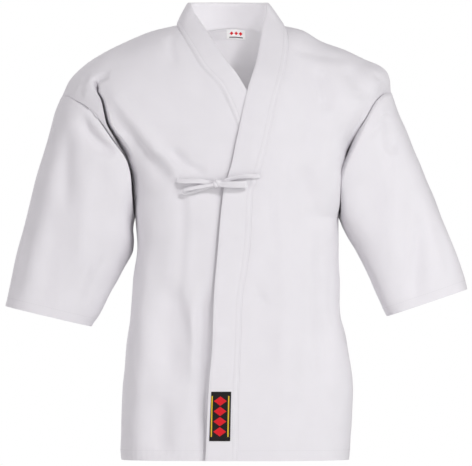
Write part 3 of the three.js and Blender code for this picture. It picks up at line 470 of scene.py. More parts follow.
def plan_squareness(side, face, z, share):
    name = ("front_left" if side > 0 else "front") if face < 0 else "back"
    return np.where(
        np.asarray(share) > 0, read_table(PLAN_SQUARENESS, share, name), read_table(TORSO, z, "square")
    )


def side_tuck(side, face, share):
    name = "tuck_front" if face < 0 else "tuck_back"
    tuck = side * read_table(SIDES[side]["armhole"], 1 - np.asarray(share, float), name)
    return np.where(np.asarray(share) > 0, tuck, 0)


def middle_depth(face, z, share):
    depth = read_table(TORSO, z, "front" if face < 0 else "back")
    roundness = FRONT_ROUNDNESS if face < 0 else BACK_ROUNDNESS
    return depth * np.sqrt(1 - np.asarray(share, float) ** roundness)


def body_point(side, face, z, share, angle):
    edge_x, edge_y, edge_z = side_point(side, face, z, share)
    squareness = plan_squareness(side, face, z, share)
    out = signed_power(np.cos(angle), 2 / squareness)
    deep = np.abs(np.sin(angle)) ** (2 / squareness)
    tuck = side_tuck(side, face, share)
    x = (edge_x - tuck) * out + tuck * (1 - deep) ** TUCK_POWER
    y = edge_y + (middle_depth(face, z, share) - edge_y) * deep
    at_edge = UNDERARM_Z + (ridge_height(side, 1.0) - UNDERARM_Z) * share
    height = UNDERARM_Z + (ridge_height(side, np.abs(out)) - UNDERARM_Z) * share
    height = height + (edge_z - at_edge) * np.abs(out) ** SIDE_HOLD
    return np.stack(np.broadcast_arrays(x, y, np.where(np.asarray(share) > 0, height, z)), axis=-1)


def angle_at_x(side, face, z, share, x):
    half_width = side_point(side, face, z, share)[0] - side_tuck(side, face, share)
    power = plan_squareness(side, face, z, share) / 2
    return np.arccos(np.clip(signed_power(x / half_width, power), -1, 1))


chest = body_point(1, -1, UNDERARM_Z, 0.0, math.pi / 2)
print("middle of the chest", [round(float(v)) for v in chest])

# %% [markdown]
# Each front goes from its side to the seam of the band. The wearer's left one lies over the other,
# so it is lifted by a little more than what lies under it is thick, and the lift fades towards the
# side and the shoulder. The seam's angle is found by trying a height, reading where the seam lies there, and
# moving half of the way until the two agree.

# %% The fronts
OVERLAP_LIFT = 8.5
OVERLAP_FADE_X = (72, 125)
OVERLAP_FADE_SHARE = (0.68, 0.86)
SEAM_PASSES = 40
FRONT_COLUMNS = 100
COLUMN_CROWDING = 1.15


def front_point(side, z, share, angle):
    point = body_point(side, -1, z, share, angle)
    if side > 0:
        near = (1 - ease(point[..., 0], *OVERLAP_FADE_X)) * (1 - ease(share, *OVERLAP_FADE_SHARE))
        point[..., 1] -= OVERLAP_LIFT * near
    return point


def seam_angle(side, z, share):
    height = np.array(z, float)
    for _ in range(SEAM_PASSES):
        seam_x = read_table(SIDES[side]["band"], height, "seam_x")
        angle = angle_at_x(side, -1, z, share, seam_x)
        height = 0.5 * height + 0.5 * body_point(side, -1, z, share, angle)[..., 2]
    return angle


def front_grid(side):
    start = seam_angle(side, level_z, level_share)[:, None]
    across = (1 - np.arange(FRONT_COLUMNS + 1) / FRONT_COLUMNS) ** COLUMN_CROWDING
    return front_point(side, level_z[:, None], level_share[:, None], start * across)


print("seam angle at the hem", [round(math.degrees(seam_angle(side, HEM_Z, 0.0))) for side in (-1, 1)])

# %% [markdown]
# The back is one piece from side to side. At the neck its top row runs in a round line behind the
# opening, so the middle columns end a little lower than those of the shoulders. Each half is made
# from its own side's rows, and the two are joined at the middle.

# %% The back
NECK_COLUMNS = 32
NECK_BACK_DEPTH = 75.0
NECK_SEAM_Z = 5


def back_grid():
    z, share = level_z[:, None], level_share[:, None]
    halves = []
    for side in (-1, 1):
        neck_x = read_table(SIDES[side]["band"], NECK_SEAM_Z, "seam_x")
        neck = angle_at_x(side, 1, z, share, neck_x)
        neck[-1] = seam_angle(side, z[-1], share[-1])
        across = (np.arange(FRONT_COLUMNS + 1) / FRONT_COLUMNS) ** COLUMN_CROWDING
        shoulder = body_point(side, 1, z, share, neck * across)
        side_x = side_point(side, 1, z, share)[0]
        neck_share = np.abs(body_point(side, 1, z, share, neck)[..., 0] / side_x)
        turn = (np.pi / 2) * (1 - np.arange(1, NECK_COLUMNS // 2 + 1) / (NECK_COLUMNS // 2))
        drop = np.cos(turn) * NECK_BACK_DEPTH / TORSO["back"][-1]
        lowered = share * (1 - drop**2) ** (1 / BACK_ROUNDNESS)
        x = side_x * neck_share * np.sin(turn)
        middle = body_point(side, 1, z, lowered, angle_at_x(side, 1, z, lowered, x))
        halves.append(np.concatenate([shoulder, middle], axis=1))
    return np.concatenate([halves[0], halves[1][:, -2::-1]], axis=1)


print("columns of the back", back_grid().shape[1])

# %% [markdown]
# A sleeve is a stack of closed rings. The first ring is the armhole itself, point for point as in
# the body, and over a short way the rings settle into the sleeve's own rounded section. A tube cut
# off at the shoulder would leave a gap there.

# %% The sleeves
SLEEVE_ROWS = 120
SLEEVE_BACK_BOW = 0.6
SLEEVE_SETTLED = 0.14
SLEEVE_CROWDING = 1.4


def sleeve_grid(side):
    sleeve = SIDES[side]["sleeve"]
    station = ((np.arange(SLEEVE_ROWS + 1) / SLEEVE_ROWS) ** SLEEVE_CROWDING)[:, None]
    values = {name: read_table(sleeve, station, name) for name in sleeve if name != "at"}
    along_x, along_z = values["in_x"] - values["out_x"], values["in_z"] - values["out_z"]
    length = np.hypot(along_x, along_z)
    step = np.arange(2 * UPPER_ROWS)
    front = (step <= UPPER_ROWS)[None, :]
    turn = np.pi * step / UPPER_ROWS
    power = 2 / SIDES[side]["sleeve_square"]
    down = ((1 - signed_power(np.cos(turn), power)) / 2)[None, :]
    sine = np.abs(np.sin(turn))[None, :]
    depth = np.where(front, values["front"], values["back"]) * sine**power
    low_half = (np.cos(turn) < 0)[None, :]
    bow = values["bow"] * np.where(front, 1, SLEEVE_BACK_BOW) * np.where(low_half, sine**3, sine)
    section = np.stack(
        [
            values["out_x"] + along_x * down - side * np.abs(along_z) / length * bow,
            depth,
            values["out_z"] + along_z * down + np.abs(along_x) / length * bow,
        ],
        axis=-1,
    )
    step_down = np.where(step <= UPPER_ROWS, step, 2 * UPPER_ROWS - step)
    row = len(level_z) - 1 - step_down
    seam = [
        np.stack(side_point(side, face, level_z[row], level_share[row]), axis=-1) for face in (-1, 1)
    ]
    seam = np.where((step <= UPPER_ROWS)[:, None], seam[0], seam[1])
    settled = np.repeat(ease(station, 0, SLEEVE_SETTLED)[..., None], 3, axis=-1)
    settled[..., 1] = ease(station, 0, SIDES[side]["depth_settled"])
    return seam[None] * (1 - settled) + section * settled


# %% [markdown]
# Beside the armhole the wearer's right front folds in, into a deep and narrow crevice, which is the
# darkest line of the whole jacket. A finer grid everywhere would show it but would be heavy, so the
# columns that are there already are gathered at it. Each row gives a height, the crevice's place,
# half of its width and its depth.

# %% The crevice beside the armhole
CREVICE = table(
    "at x half depth",
    (-238, -186, 8, 0), (-226, -190, 9.5, 26), (-213, -197, 10, 38), (-199, -205, 8.5, 42),
    (-186, -214, 6, 40), (-171, -222.5, 5, 36), (-150, -228, 4.5, 32), (-130, -233.5, 4.2, 26),
    (-111, -243.5, 3.8, 16), (-100, -247, 3.5, 5), (-95, -248, 3.5, 0),
)
GATHERED = 3.0
GATHER_REACH = 5.0
CREVICE_FOOT = (-250, -232)
CREVICE_HEAD = (-104, -92)
CREVICE_SHARPNESS = 1.3
CREVICE_BORDER = 5


def gather_columns(grid):
    columns = np.arange(grid.shape[1], dtype=float)
    gathered = grid.copy()
    for number, row in enumerate(grid):
        away = read_table(CREVICE, row[:, 2], "x") - row[:, 0]
        centre = np.interp(0, away, columns)
        height = np.interp(centre, columns, row[:, 2])
        active = ease(height, *CREVICE_FOOT) * (1 - ease(height, *CREVICE_HEAD))
        density = 1 + GATHERED * active * bump(columns - centre, GATHER_REACH)
        run = np.concatenate([[0], np.cumsum((density[1:] + density[:-1]) / 2)])
        place = np.interp(np.linspace(0, run[-1], len(columns)), run, columns)
        gathered[number] = np.stack([np.interp(place, columns, row[:, k]) for k in range(3)], axis=-1)
    return gathered


def crevice_depth(points, from_border):
    away = np.abs(points[..., 0] - read_table(CREVICE, points[..., 2], "x"))
    share = np.clip(1 - away / read_table(CREVICE, points[..., 2], "half"), 0, 1)
    depth = read_table(CREVICE, points[..., 2], "depth")
    return depth * share**CREVICE_SHARPNESS * ease(from_border, 0, CREVICE_BORDER)


print("deepest", CREVICE["depth"].max(), "mm")

# %% [markdown]
# Now the five panels exist as smooth surfaces: two fronts, one back and two sleeves. They are kept
# by name, because every later step goes through all of them.

# %% The five grids
grids = {
    "front_right": gather_columns(front_grid(-1)),
    "front_left": front_grid(1),
    "back": back_grid(),
    "sleeve_right": sleeve_grid(-1),
    "sleeve_left": sleeve_grid(1),
}
CLOSED = {"sleeve_right", "sleeve_left"}
for name, grid in grids.items():
    print(name, grid.shape[:2], "points")

# %% [markdown]
# Cotton folds where it is pulled or where there is too much of it. The drag fold from the armhole
# to the bow comes from the tie's pull, and the long upright ones hang from it. Each fold is a soft
# bump along a line: its height is what it stands out (or in, when negative), its bend bows the
# line sideways and its lean makes one flank steeper. The hidden back gets similar ones. The face is
# -1 in front and 1 behind, and the next four columns are where the fold starts and ends.

# %% Large folds
LARGE_FOLDS = table(
    "face x0 z0 x1 z1 width height bend lean",
    (-1, -222, -112, -145, -212, 15, 7, 0, 0),
    (-1, -145, -212, -100, -262, 13, 6, 0, 0),
    (-1, -212, -160, -128, -262, 17, -7, 0, 0),
    (-1, -118, -462, -116, -600, 25, -9, 0, 0),
    (-1, -76, -492, -73, -610, 12, 5, 0, 0),
    (-1, -54, -490, -58, -705, 13, -9, 0, 0),
    (-1, -128, -660, -132, -740, 18, -5, 0, 0),
    (-1, -160, -430, -172, -740, 17, 4, 0, 0),
    (-1, 118, -255, 138, -340, 22, -7, 0, 0),
    (-1, 148, -370, 155, -600, 16, -6, 0, 0),
    (-1, 100, -420, 92, -640, 24, 5, 0, 0),
    (-1, 146, -80, 158, -140, 13, -5, 0, 0),
    (-1, 196, -76, 230, -124, 13, -5, 0, 0),
    (-1, -296, -190, -302, -315, 16, -6, 0, 0),
    (-1, -262, -250, -268, -430, 20, 5, 0, 0),
    (-1, -318, -360, -338, -490, 18, -5, 0, 0),
    (-1, 318, -340, 312, -470, 15, -6, 0, 0),
    (-1, 270, -160, 274, -215, 13, -6, 0, 0),
    (-1, 270, -270, 276, -420, 20, 4, 0, 0),
    (1, -205, -150, -110, -250, 18, -7, 0, 0),
    (1, 200, -140, 95, -262, 18, -8, 0, 0),
    (1, -70, -330, -92, -620, 24, -7, 0, 0),
    (1, 62, -360, 80, -700, 26, -8, 0, 0),
    (1, -8, -120, -4, -330, 22, -4, 0, 0),
    (1, -140, -420, -150, -720, 18, 5, 0, 0),
    (1, 140, -400, 148, -690, 18, 5, 0, 0),
    (1, -300, -200, -322, -430, 17, -6, 0, 0),
    (1, 290, -190, 330, -420, 17, -6, 0, 0),
)
print("large folds", len(LARGE_FOLDS["face"]))

# %% [markdown]
# Smaller creases lie between the large folds. Only the dressed surface has them, because it takes a
# fine grid to show them. All of them are dents, as pressed cotton creases inwards.

# %% Small folds
SMALL_FOLDS = table(
    "face x0 z0 x1 z1 width height bend lean",
    (-1, -112, -18, -108, -60, 7, -2.2, 3, 0.2),
    (-1, -98, -262, -103, -470, 13, -2.8, -6, 0.3),
    (-1, -103, -470, -68, -590, 13, -2.4, 5, 0.2),
    (-1, -110, -222, -62, -256, 9, -5.6, 4, -0.2),
    (-1, -262, -86, -272, -128, 7, -2.4, 4, 0.2),
    (-1, -278, -94, -290, -122, 5, -1.8, 2, 0),
    (-1, -268, -168, -221, -216, 13, -10.5, 6, 0.2),
    (-1, -232, -410, -262, -492, 9, -2.6, 5, 0),
    (-1, -370, -350, -384, -460, 10, -2.4, -3, 0),
    (-1, 26, -480, 50, -470, 7, -1.6, 2, 0),
    (-1, 34, -452, 54, -488, 6, -1.6, 3, 0),
    (-1, 84, -34, 192, -56, 9, -2.0, 4, 0),
    (-1, 242, -84, 270, -97, 6, -2.0, 2, 0),
    (-1, 267, -158, 239, -190, 6, -2.6, 3, 0.2),
    (-1, 292, -180, 268, -246, 9, -2.4, 5, 0),
    (-1, 172, -420, 170, -520, 8, -2.2, 4, 0),
    (-1, 60, -300, 72, -400, 10, -1.8, 4, 0),
    (-1, 356, -360, 372, -440, 10, -2.0, -4, 0),
    (1, -180, -60, -90, -84, 9, -2.2, 5, 0),
    (1, 84, -62, 170, -44, 9, -2.2, 4, 0),
    (1, -222, -120, -206, -190, 8, -2.8, 5, 0.2),
    (1, 206, -112, 196, -190, 8, -2.8, -5, 0.2),
    (1, -30, -360, -18, -560, 9, -2.4, 8, 0.2),
    (1, 104, -460, 96, -640, 8, -2.4, -5, 0),
    (1, -112, -640, -106, -742, 10, -2.6, 3, 0),
    (1, 24, -600, 30, -740, 10, -2.2, -4, 0),
    (1, -330, -330, -352, -470, 10, -2.4, 4, 0),
    (1, 300, -330, 326, -455, 10, -2.4, -3, 0),
)
print("small folds", len(SMALL_FOLDS["face"]))

# %% [markdown]
# A fold fades at both ends, so that it doesn't start with a step. It also fades where the surface
# turns to the side, or a fold drawn on the front would show on the back as well.

# %% How folds push the cloth
FOLD_FACE_FROM = 8.0
FOLD_FACE_TO = 45.0
FOLD_START = (-0.25, 0.2)
FOLD_STOP = (0.8, 1.25)


def fold_push(points, folds):
    x, y, z = points[..., 0], points[..., 1], points[..., 2]
    push = np.zeros(x.shape)
    for i in range(len(folds["face"])):
        fold = {name: values[i] for name, values in folds.items()}
        along_x, along_z = fold["x1"] - fold["x0"], fold["z1"] - fold["z0"]
        length = math.hypot(along_x, along_z)
        share = ((x - fold["x0"]) * along_x + (z - fold["z0"]) * along_z) / length**2
        across = ((x - fold["x0"]) * along_z - (z - fold["z0"]) * along_x) / length
        inside = np.clip(share, 0, 1)
        across = across - 4 * fold["bend"] * inside * (1 - inside)
        width = fold["width"] * (1 + fold["lean"] * np.tanh(across / fold["width"]))
        ends = ease(share, *FOLD_START) * (1 - ease(share, *FOLD_STOP))
        on_face = ease(y * fold["face"], FOLD_FACE_FROM, FOLD_FACE_TO)
        push += fold["height"] * bump(across, width) * ends * on_face
    return push


print("folds of the back, up to", round(float(fold_push(grids["back"], LARGE_FOLDS).max()), 1), "mm")

# %% [markdown]
# The crevice ends in a soft hook at its top, where the cloth turns over. It is a dent along a short
# broken line. At each point the nearest piece of the line decides how deep the dent is.

# %% The hook above the crevice
CREASE = table(
    "x z width depth",
    (-222, -86, 5, 0), (-232, -89.5, 5, 5), (-241, -93, 4.5, 9), (-247, -98, 4, 12),
    (-246, -106, 4, 12), (-241, -116, 4, 0),
)


def crease_push(points):
    x, z = points[..., 0], points[..., 2]
    nearest = np.full(x.shape, 1e9)
    push = np.zeros(x.shape)
    for i in range(len(CREASE["x"]) - 1):
        start = {name: values[i] for name, values in CREASE.items()}
        stop = {name: values[i + 1] for name, values in CREASE.items()}
        along_x, along_z = stop["x"] - start["x"], stop["z"] - start["z"]
        share = ((x - start["x"]) * along_x + (z - start["z"]) * along_z) / (along_x**2 + along_z**2)
        share = np.clip(share, 0, 1)
        away = np.hypot(x - start["x"] - along_x * share, z - start["z"] - along_z * share)
        width = start["width"] + (stop["width"] - start["width"]) * share
        depth = start["depth"] + (stop["depth"] - start["depth"]) * share
        here = -depth * bump(away, width)
        push = np.where(away < nearest, here, push)
        nearest = np.minimum(away, nearest)
    return push


print("deepest", CREASE["depth"].max(), "mm")

# %% [markdown]
# Even where cotton hangs flat it is never quite even. A noise texture could bend the light there,
# but the outline would stay straight, so the points themselves move. A few slow waves in different
# directions do that, from a fixed seed, so that every run gives the same cloth.

# %% Ripples
RIPPLE_SEED = 7
RIPPLE_WAVES = 26
RIPPLE_UPRIGHT = 0.5
RIPPLE_LENGTHS = (30, 120)
RIPPLE_MIDDLE_LENGTH = 80
RIPPLE_SIZE = 0.85
ripple = np.random.default_rng(RIPPLE_SEED)
ripple_direction = ripple.normal(size=(RIPPLE_WAVES, 3))
ripple_direction[:, 2] *= RIPPLE_UPRIGHT
ripple_direction /= np.linalg.norm(ripple_direction, axis=1)[:, None]
ripple_length = ripple.uniform(*RIPPLE_LENGTHS, RIPPLE_WAVES)
ripple_phase = ripple.uniform(0, 2 * np.pi, RIPPLE_WAVES)


def ripple_push(points):
    wave = 2 * np.pi * points @ ripple_direction.T / ripple_length + ripple_phase
    total = (np.sin(wave) * (ripple_length / RIPPLE_MIDDLE_LENGTH)).sum(axis=-1)
    return RIPPLE_SIZE * total / math.sqrt(RIPPLE_WAVES / 2)


print("waves from", round(ripple_length.min()), "to", round(ripple_length.max()), "mm")


# %% [markdown]
# Cloth has two faces and a thickness. To give a grid a thickness, each of its points needs the
# direction in which the cloth faces there. It comes from the differences between a point's
# neighbours, and the middle of the tube tells which way is out.

# %% Which way the cloth faces
BODY_CENTRE_TOP = -120


def unit(vectors):
    return vectors / np.maximum(np.linalg.norm(vectors, axis=-1, keepdims=True), 1e-9)


def grid_normals(grid, closed):
    along = np.empty_like(grid)
    along[1:-1] = grid[2:] - grid[:-2]
    along[0], along[-1] = grid[1] - grid[0], grid[-1] - grid[-2]
    if closed:
        across = np.roll(grid, -1, axis=1) - np.roll(grid, 1, axis=1)
    else:
        across = np.empty_like(grid)
        across[:, 1:-1] = grid[:, 2:] - grid[:, :-2]
        across[:, 0], across[:, -1] = grid[:, 1] - grid[:, 0], grid[:, -1] - grid[:, -2]
    return unit(np.cross(across, along))


def centre_of(name, grid):
    if name in CLOSED:
        return grid.mean(axis=1, keepdims=True)
    centre = np.zeros_like(grid)
    centre[..., 2] = np.minimum(grid[..., 2], BODY_CENTRE_TOP)
    return centre


def outward(name, grid):
    normals = grid_normals(grid, name in CLOSED)
    if (normals * (grid - centre_of(name, grid))).sum() < 0:
        normals = -normals
    return normals


middle_faces = outward("back", grids["back"])[LOWER_ROWS, FRONT_COLUMNS]
print("the middle of the back faces", [round(float(v), 2) for v in middle_faces])

# %% [markdown]
# Where panels meet, their own directions differ, and their walls would part. So points that lie on
# the same spot share the mean of their directions. The line halfway between the two panels is added,
# because two opposite directions alone would cancel out at a sharp edge. A sharper seam also gets a
# longer step inwards, so that the wall keeps its thickness.

# %% Directions shared at the seams
SEAM_MATCH = 200
UNDERARM_REACH = 0.5
LONGEST_STEP = 1.6
LEAST_FIT = 0.4


def inward_step(grid, closed):
    step = np.zeros_like(grid)
    step[0] += unit(grid[1] - grid[0])
    step[-1] += unit(grid[-2] - grid[-1])
    if not closed:
        step[:, 0] += unit(grid[:, 1] - grid[:, 0])
        step[:, -1] += unit(grid[:, -2] - grid[:, -1])
    return step


def shared_normals(panels):
    sums = {}
    own = {name: outward(name, grid) for name, grid in panels.items()}
    steps = {name: inward_step(grid, name in CLOSED) for name, grid in panels.items()}
    keys = {}
    for name, grid in panels.items():
        rows, columns = grid.shape[:2]
        border = np.zeros((rows, columns), bool)
        border[[0, -1]] = True
        if name not in CLOSED:
            border[:, [0, -1]] = True
        keys[name] = [
            (r, c, tuple(np.round(grid[r, c] * SEAM_MATCH).astype(int))) for r, c in np.argwhere(border)
        ]
        for r, c, key in keys[name]:
            sums.setdefault(key, []).append((own[name][r, c], steps[name][r, c]))
    scales = {}
    for name, grid in panels.items():
        scale = np.ones(grid.shape[:2])
        for r, c, key in keys[name]:
            group = sums[key]
            mean = sum(normal for normal, _ in group)
            if len(group) > 1:
                groove = sum(step for _, step in group)
                mean = mean + groove * np.sign(mean @ groove)
            # Several panels meet at an underarm, and each keeps its own direction there.
            if min(np.linalg.norm(grid[r, c] - place) for place in UNDERARMS) < UNDERARM_REACH:
                continue
            mean = mean / np.linalg.norm(mean)
            fit = np.mean([normal @ mean for normal, _ in group])
            own[name][r, c] = mean
            scale[r, c] = min(LONGEST_STEP, 1 / max(fit, LEAST_FIT))
        scales[name] = scale
    return own, scales


# %% [markdown]
# Two lengths are needed again and again: how far a point is from its panel's border, for seams and
# for folds that fade, and where it lies when the panel is laid flat, for the weave. Both are sums
# along the lines of the grid.


# %% Lengths along the cloth
def ringed(grid, closed):
    return np.concatenate([grid, grid[:, :1]], axis=1) if closed else grid


def running_length(points, axis=0):
    steps = np.linalg.norm(np.diff(points, axis=axis), axis=-1)
    start = np.zeros_like(steps.take([0], axis=axis))
    return np.concatenate([start, np.cumsum(steps, axis=axis)], axis=axis)


def border_distance(grid, closed):
    from_start = running_length(grid)
    rows = np.minimum(from_start, from_start[-1] - from_start)
    if closed:
        return rows, rows
    from_left = running_length(grid, axis=1)
    return rows, np.minimum(from_left, from_left[:, -1:] - from_left)


def flat_place(grid, closed):
    down = np.linalg.norm(np.diff(grid, axis=0), axis=-1).mean(axis=1)
    v = np.concatenate([[0], np.cumsum(down)])
    return running_length(ringed(grid, closed), axis=1), v


print("the back, laid flat, is", round(flat_place(grids["back"], False)[1][-1]), "mm long")

# %% [markdown]
# Every piece is made from points and faces worked out here. Its faces have to look outwards, which
# the sign of the enclosed volume tells. Smooth shading hides the small faces, and edges sharper
# than a limit stay crisp, as the rims of cloth are.

# %% Making a mesh
SHARP_ANGLE = 52


def make_mesh(name, points, faces, material, us, vs):
    mesh = bpy.data.meshes.new(name)
    mesh.from_pydata([tuple(p) for p in points], [], [tuple(int(i) for i in f) for f in faces])
    if us is not None:
        layer = mesh.uv_layers.new(name="cloth")
        layer.data.foreach_set("uv", np.stack([us, vs], axis=-1).reshape(-1) / 1000)
    mesh.polygons.foreach_set("use_smooth", [True] * len(mesh.polygons))
    mesh.set_sharp_from_angle(angle=math.radians(SHARP_ANGLE))
    mesh.materials.append(material)
    thing = bpy.data.objects.new(name, mesh)
    scene.collection.objects.link(thing)
    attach(thing, "root")
    return thing


def faces_inward(points, quads):
    corners = points[quads]
    volume = (corners[:, 0] * np.cross(corners[:, 1], corners[:, 2])).sum()
    volume += (corners[:, 0] * np.cross(corners[:, 2], corners[:, 3])).sum()
    return volume < 0


def cell_corners(values):
    corners = [values[:-1, :-1], values[:-1, 1:], values[1:, 1:], values[1:, :-1]]
    return np.stack(corners, axis=-1).reshape(-1, 4)


print("edges are sharp from", SHARP_ANGLE, "degrees")

# %% [markdown]
# A panel becomes a closed wall: an outer grid, an inner one moved in along the cloth's direction,
# and a rim between them all round. The solidify modifier makes such walls too, but it can't share
# its directions across a seam, and then the rims of two panels don't meet. The borders are drawn in
# by a hair, so that neighbours don't lie in one another.

# %% Walls of cloth
DRAW_MOST = 0.45
RIM_STEP = 2.0


def draw_in(grid, closed, gap):
    pulled = grid.copy()
    pairs = [((0, slice(None)), (1, slice(None))), ((-1, slice(None)), (-2, slice(None)))]
    if not closed:
        pairs += [((slice(None), 0), (slice(None), 1)), ((slice(None), -1), (slice(None), -2))]
    for edge, inside in pairs:
        step = grid[inside] - grid[edge]
        length = np.linalg.norm(step, axis=-1, keepdims=True)
        pulled[edge] += step / np.maximum(length, 1e-9) * np.minimum(gap, DRAW_MOST * length)
    return pulled


def wall_mesh(name, outer, inner, closed, material):
    rows, columns = outer.shape[:2]
    points = np.concatenate([outer.reshape(-1, 3), inner.reshape(-1, 3)]) / 1000
    index = ringed(np.arange(rows * columns).reshape(rows, columns), closed)
    top = cell_corners(index)
    u, v = flat_place(outer, closed)
    place_u, place_v = cell_corners(u), cell_corners(np.repeat(v[:, None], u.shape[1], axis=1))
    faces = [top, top[:, ::-1] + rows * columns]
    us, vs = [place_u, place_u[:, ::-1]], [place_v, place_v[:, ::-1]]

    def rim(edge, flip):
        low = edge + rows * columns
        quads = np.stack([edge[:-1], low[:-1], low[1:], edge[1:]], axis=-1)
        faces.append(quads[:, ::-1] if flip else quads)
        place = np.arange(len(edge) - 1)
        rim_u = np.stack([place, place, place + 1, place + 1], axis=-1) * RIM_STEP
        us.append(rim_u)
        vs.append(np.zeros_like(rim_u))

    rim(index[0], False)
    rim(index[-1], True)
    if not closed:
        rim(index[:, 0], True)
        rim(index[:, -1], False)
    faces, us, vs = np.concatenate(faces), np.concatenate(us), np.concatenate(vs)
    if faces_inward(points, faces):
        faces, us, vs = faces[:, ::-1], us[:, ::-1], vs[:, ::-1]
    return make_mesh(name, points, faces, material, us, vs)


print("rims are drawn in by at most", DRAW_MOST, "of a cell")

# %% [markdown]
# The cloth is bleached cotton, firm and without shine. Its yarns cross over and under each other
# about a millimetre apart, and its tone changes a little from place to place. Two node groups make
# these, so that every piece can share them: one gives the height of the weave, the other the soft
# change of tone and a painted shade in the gaps between the yarns. Both follow the cloth's own flat
# place, which is stored as a map in metres. First come three helpers, for a new group, a sum, and
# the place on the cloth.


# %% Helpers for nodes
def new_group(name, inputs, outputs):
    group = bpy.data.node_groups.new(name, "ShaderNodeTree")
    for label, kind, value in inputs:
        socket = group.interface.new_socket(label, in_out="INPUT", socket_type=kind)
        socket.default_value = value
    for label, kind in outputs:
        group.interface.new_socket(label, in_out="OUTPUT", socket_type=kind)
    return group


def add_math(tree, operation, first, second=None, third=None):
    node = tree.nodes.new("ShaderNodeMath")
    node.operation = operation
    for index, value in enumerate((first, second, third)):
        if value is None:
            continue
        if isinstance(value, (int, float)):
            node.inputs[index].default_value = value
        else:
            tree.links.new(value, node.inputs[index])
    return node.outputs[0]


def cloth_place(tree):
    place = tree.nodes.new("ShaderNodeUVMap")
    place.uv_map = "cloth"
    split = tree.nodes.new("ShaderNodeSeparateXYZ")
    tree.links.new(place.outputs[0], split.inputs[0])
    return place.outputs[0], split.outputs["X"], split.outputs["Y"]


# %% [markdown]
# In plain weave each yarn goes over one neighbour and under the next. Like a chessboard, the group
# picks which direction is on top in each square, and a sine rounds the yarn. A fine noise makes the
# yarns uneven, as spun cotton is. A picture of cloth would blur close up, and a sum doesn't.

# %% The weave
SLUB_SCALE = 420
SLUB_DETAIL = 3
weave = new_group(
    "cotton_weave",
    [("Yarn spacing", "NodeSocketFloat", 0.001), ("Slub", "NodeSocketFloat", 0.35)],
    [("Height", "NodeSocketFloat"), ("Gap", "NodeSocketFloat")],
)
w_in = weave.nodes.new("NodeGroupInput")
w_out = weave.nodes.new("NodeGroupOutput")
place, u, v = cloth_place(weave)
spacing = w_in.outputs["Yarn spacing"]
across = add_math(weave, "DIVIDE", u, spacing)
along = add_math(weave, "DIVIDE", v, spacing)
parity = add_math(
    weave, "PINGPONG",
    add_math(weave, "ADD", add_math(weave, "FLOOR", across), add_math(weave, "FLOOR", along)), 1.0,
)
warp = add_math(weave, "ABSOLUTE", add_math(weave, "SINE", add_math(weave, "MULTIPLY", across, math.pi)))
weft = add_math(weave, "ABSOLUTE", add_math(weave, "SINE", add_math(weave, "MULTIPLY", along, math.pi)))
over = add_math(weave, "MULTIPLY", parity, warp)
under = add_math(weave, "MULTIPLY", add_math(weave, "SUBTRACT", 1.0, parity), weft)
yarn = add_math(weave, "ADD", over, under)
slub = weave.nodes.new("ShaderNodeTexNoise")
slub.inputs["Scale"].default_value = SLUB_SCALE
slub.inputs["Detail"].default_value = SLUB_DETAIL
weave.links.new(place, slub.inputs["Vector"])
uneven = add_math(weave, "MULTIPLY", slub.outputs["Fac"], w_in.outputs["Slub"])
weave.links.new(add_math(weave, "ADD", yarn, uneven), w_out.inputs["Height"])
# The gap is high where neither yarn is up; the tone group paints shade there.
gap = add_math(weave, "SUBTRACT", 1.0, add_math(weave, "MAXIMUM", warp, weft))
weave.links.new(gap, w_out.inputs["Gap"])
print("group", weave.name)

# %% [markdown]
# Bleached cotton isn't one white. The second group changes the tone in soft patches, and it paints
# shade into the small gaps between the yarns, which the first group points out, by darkening the
# colour there.

# %% The tone, and painted shade between the yarns
PATCH_DETAIL = 4
tone_and_gap_shade_group = new_group(
    "cloth_tone_and_gap_shade",
    [
        ("Colour", "NodeSocketColor", (0.8, 0.8, 0.8, 1)),
        ("Patch size", "NodeSocketFloat", 0.05),
        ("Strength", "NodeSocketFloat", 0.03),
        ("Gap", "NodeSocketFloat", 0.0),
    ],
    [("Colour", "NodeSocketColor"), ("Soft height", "NodeSocketFloat")],
)
t_in = tone_and_gap_shade_group.nodes.new("NodeGroupInput")
t_out = tone_and_gap_shade_group.nodes.new("NodeGroupOutput")
place, u, v = cloth_place(tone_and_gap_shade_group)
patches = tone_and_gap_shade_group.nodes.new("ShaderNodeTexNoise")
patches.inputs["Detail"].default_value = PATCH_DETAIL
tone_and_gap_shade_group.links.new(place, patches.inputs["Vector"])
tone_and_gap_shade_group.links.new(add_math(tone_and_gap_shade_group, "DIVIDE", 1.0, t_in.outputs["Patch size"]), patches.inputs["Scale"])
change = add_math(tone_and_gap_shade_group, "MULTIPLY", add_math(tone_and_gap_shade_group, "SUBTRACT", patches.outputs["Fac"], 0.5), 2.0)
change = add_math(tone_and_gap_shade_group, "MULTIPLY", change, t_in.outputs["Strength"])
# Painted shade: the colour is darkened in the gaps between the yarns, by the same strength as the patches.
dark = add_math(tone_and_gap_shade_group, "MULTIPLY", t_in.outputs["Gap"], t_in.outputs["Strength"])
factor = add_math(tone_and_gap_shade_group, "SUBTRACT", add_math(tone_and_gap_shade_group, "ADD", 1.0, change), dark)
toned = tone_and_gap_shade_group.nodes.new("ShaderNodeVectorMath")
toned.operation = "SCALE"
tone_and_gap_shade_group.links.new(t_in.outputs["Colour"], toned.inputs[0])
tone_and_gap_shade_group.links.new(factor, toned.inputs["Scale"])
tone_and_gap_shade_group.links.new(toned.outputs[0], t_out.inputs["Colour"])
tone_and_gap_shade_group.links.new(patches.outputs["Fac"], t_out.inputs["Soft height"])
print("group", tone_and_gap_shade_group.name)

# %% [markdown]
# All the white pieces are the same kind of cotton in other weights: coarse in the panels, finer in
# the band, the tie and the thread. It is rough, with a faint sheen from its fibres. What is the same
# all over is set on the shader itself, and the two groups feed what changes from place to place.

# %% Cotton
SHEEN_ROUGHNESS = 0.5
COTTON_SPECULAR = 0.2
SOFT_BUMP_DISTANCE = 0.0012
SOFT_BUMP_STRENGTH = 0.25
YARN_HEIGHT = 0.4


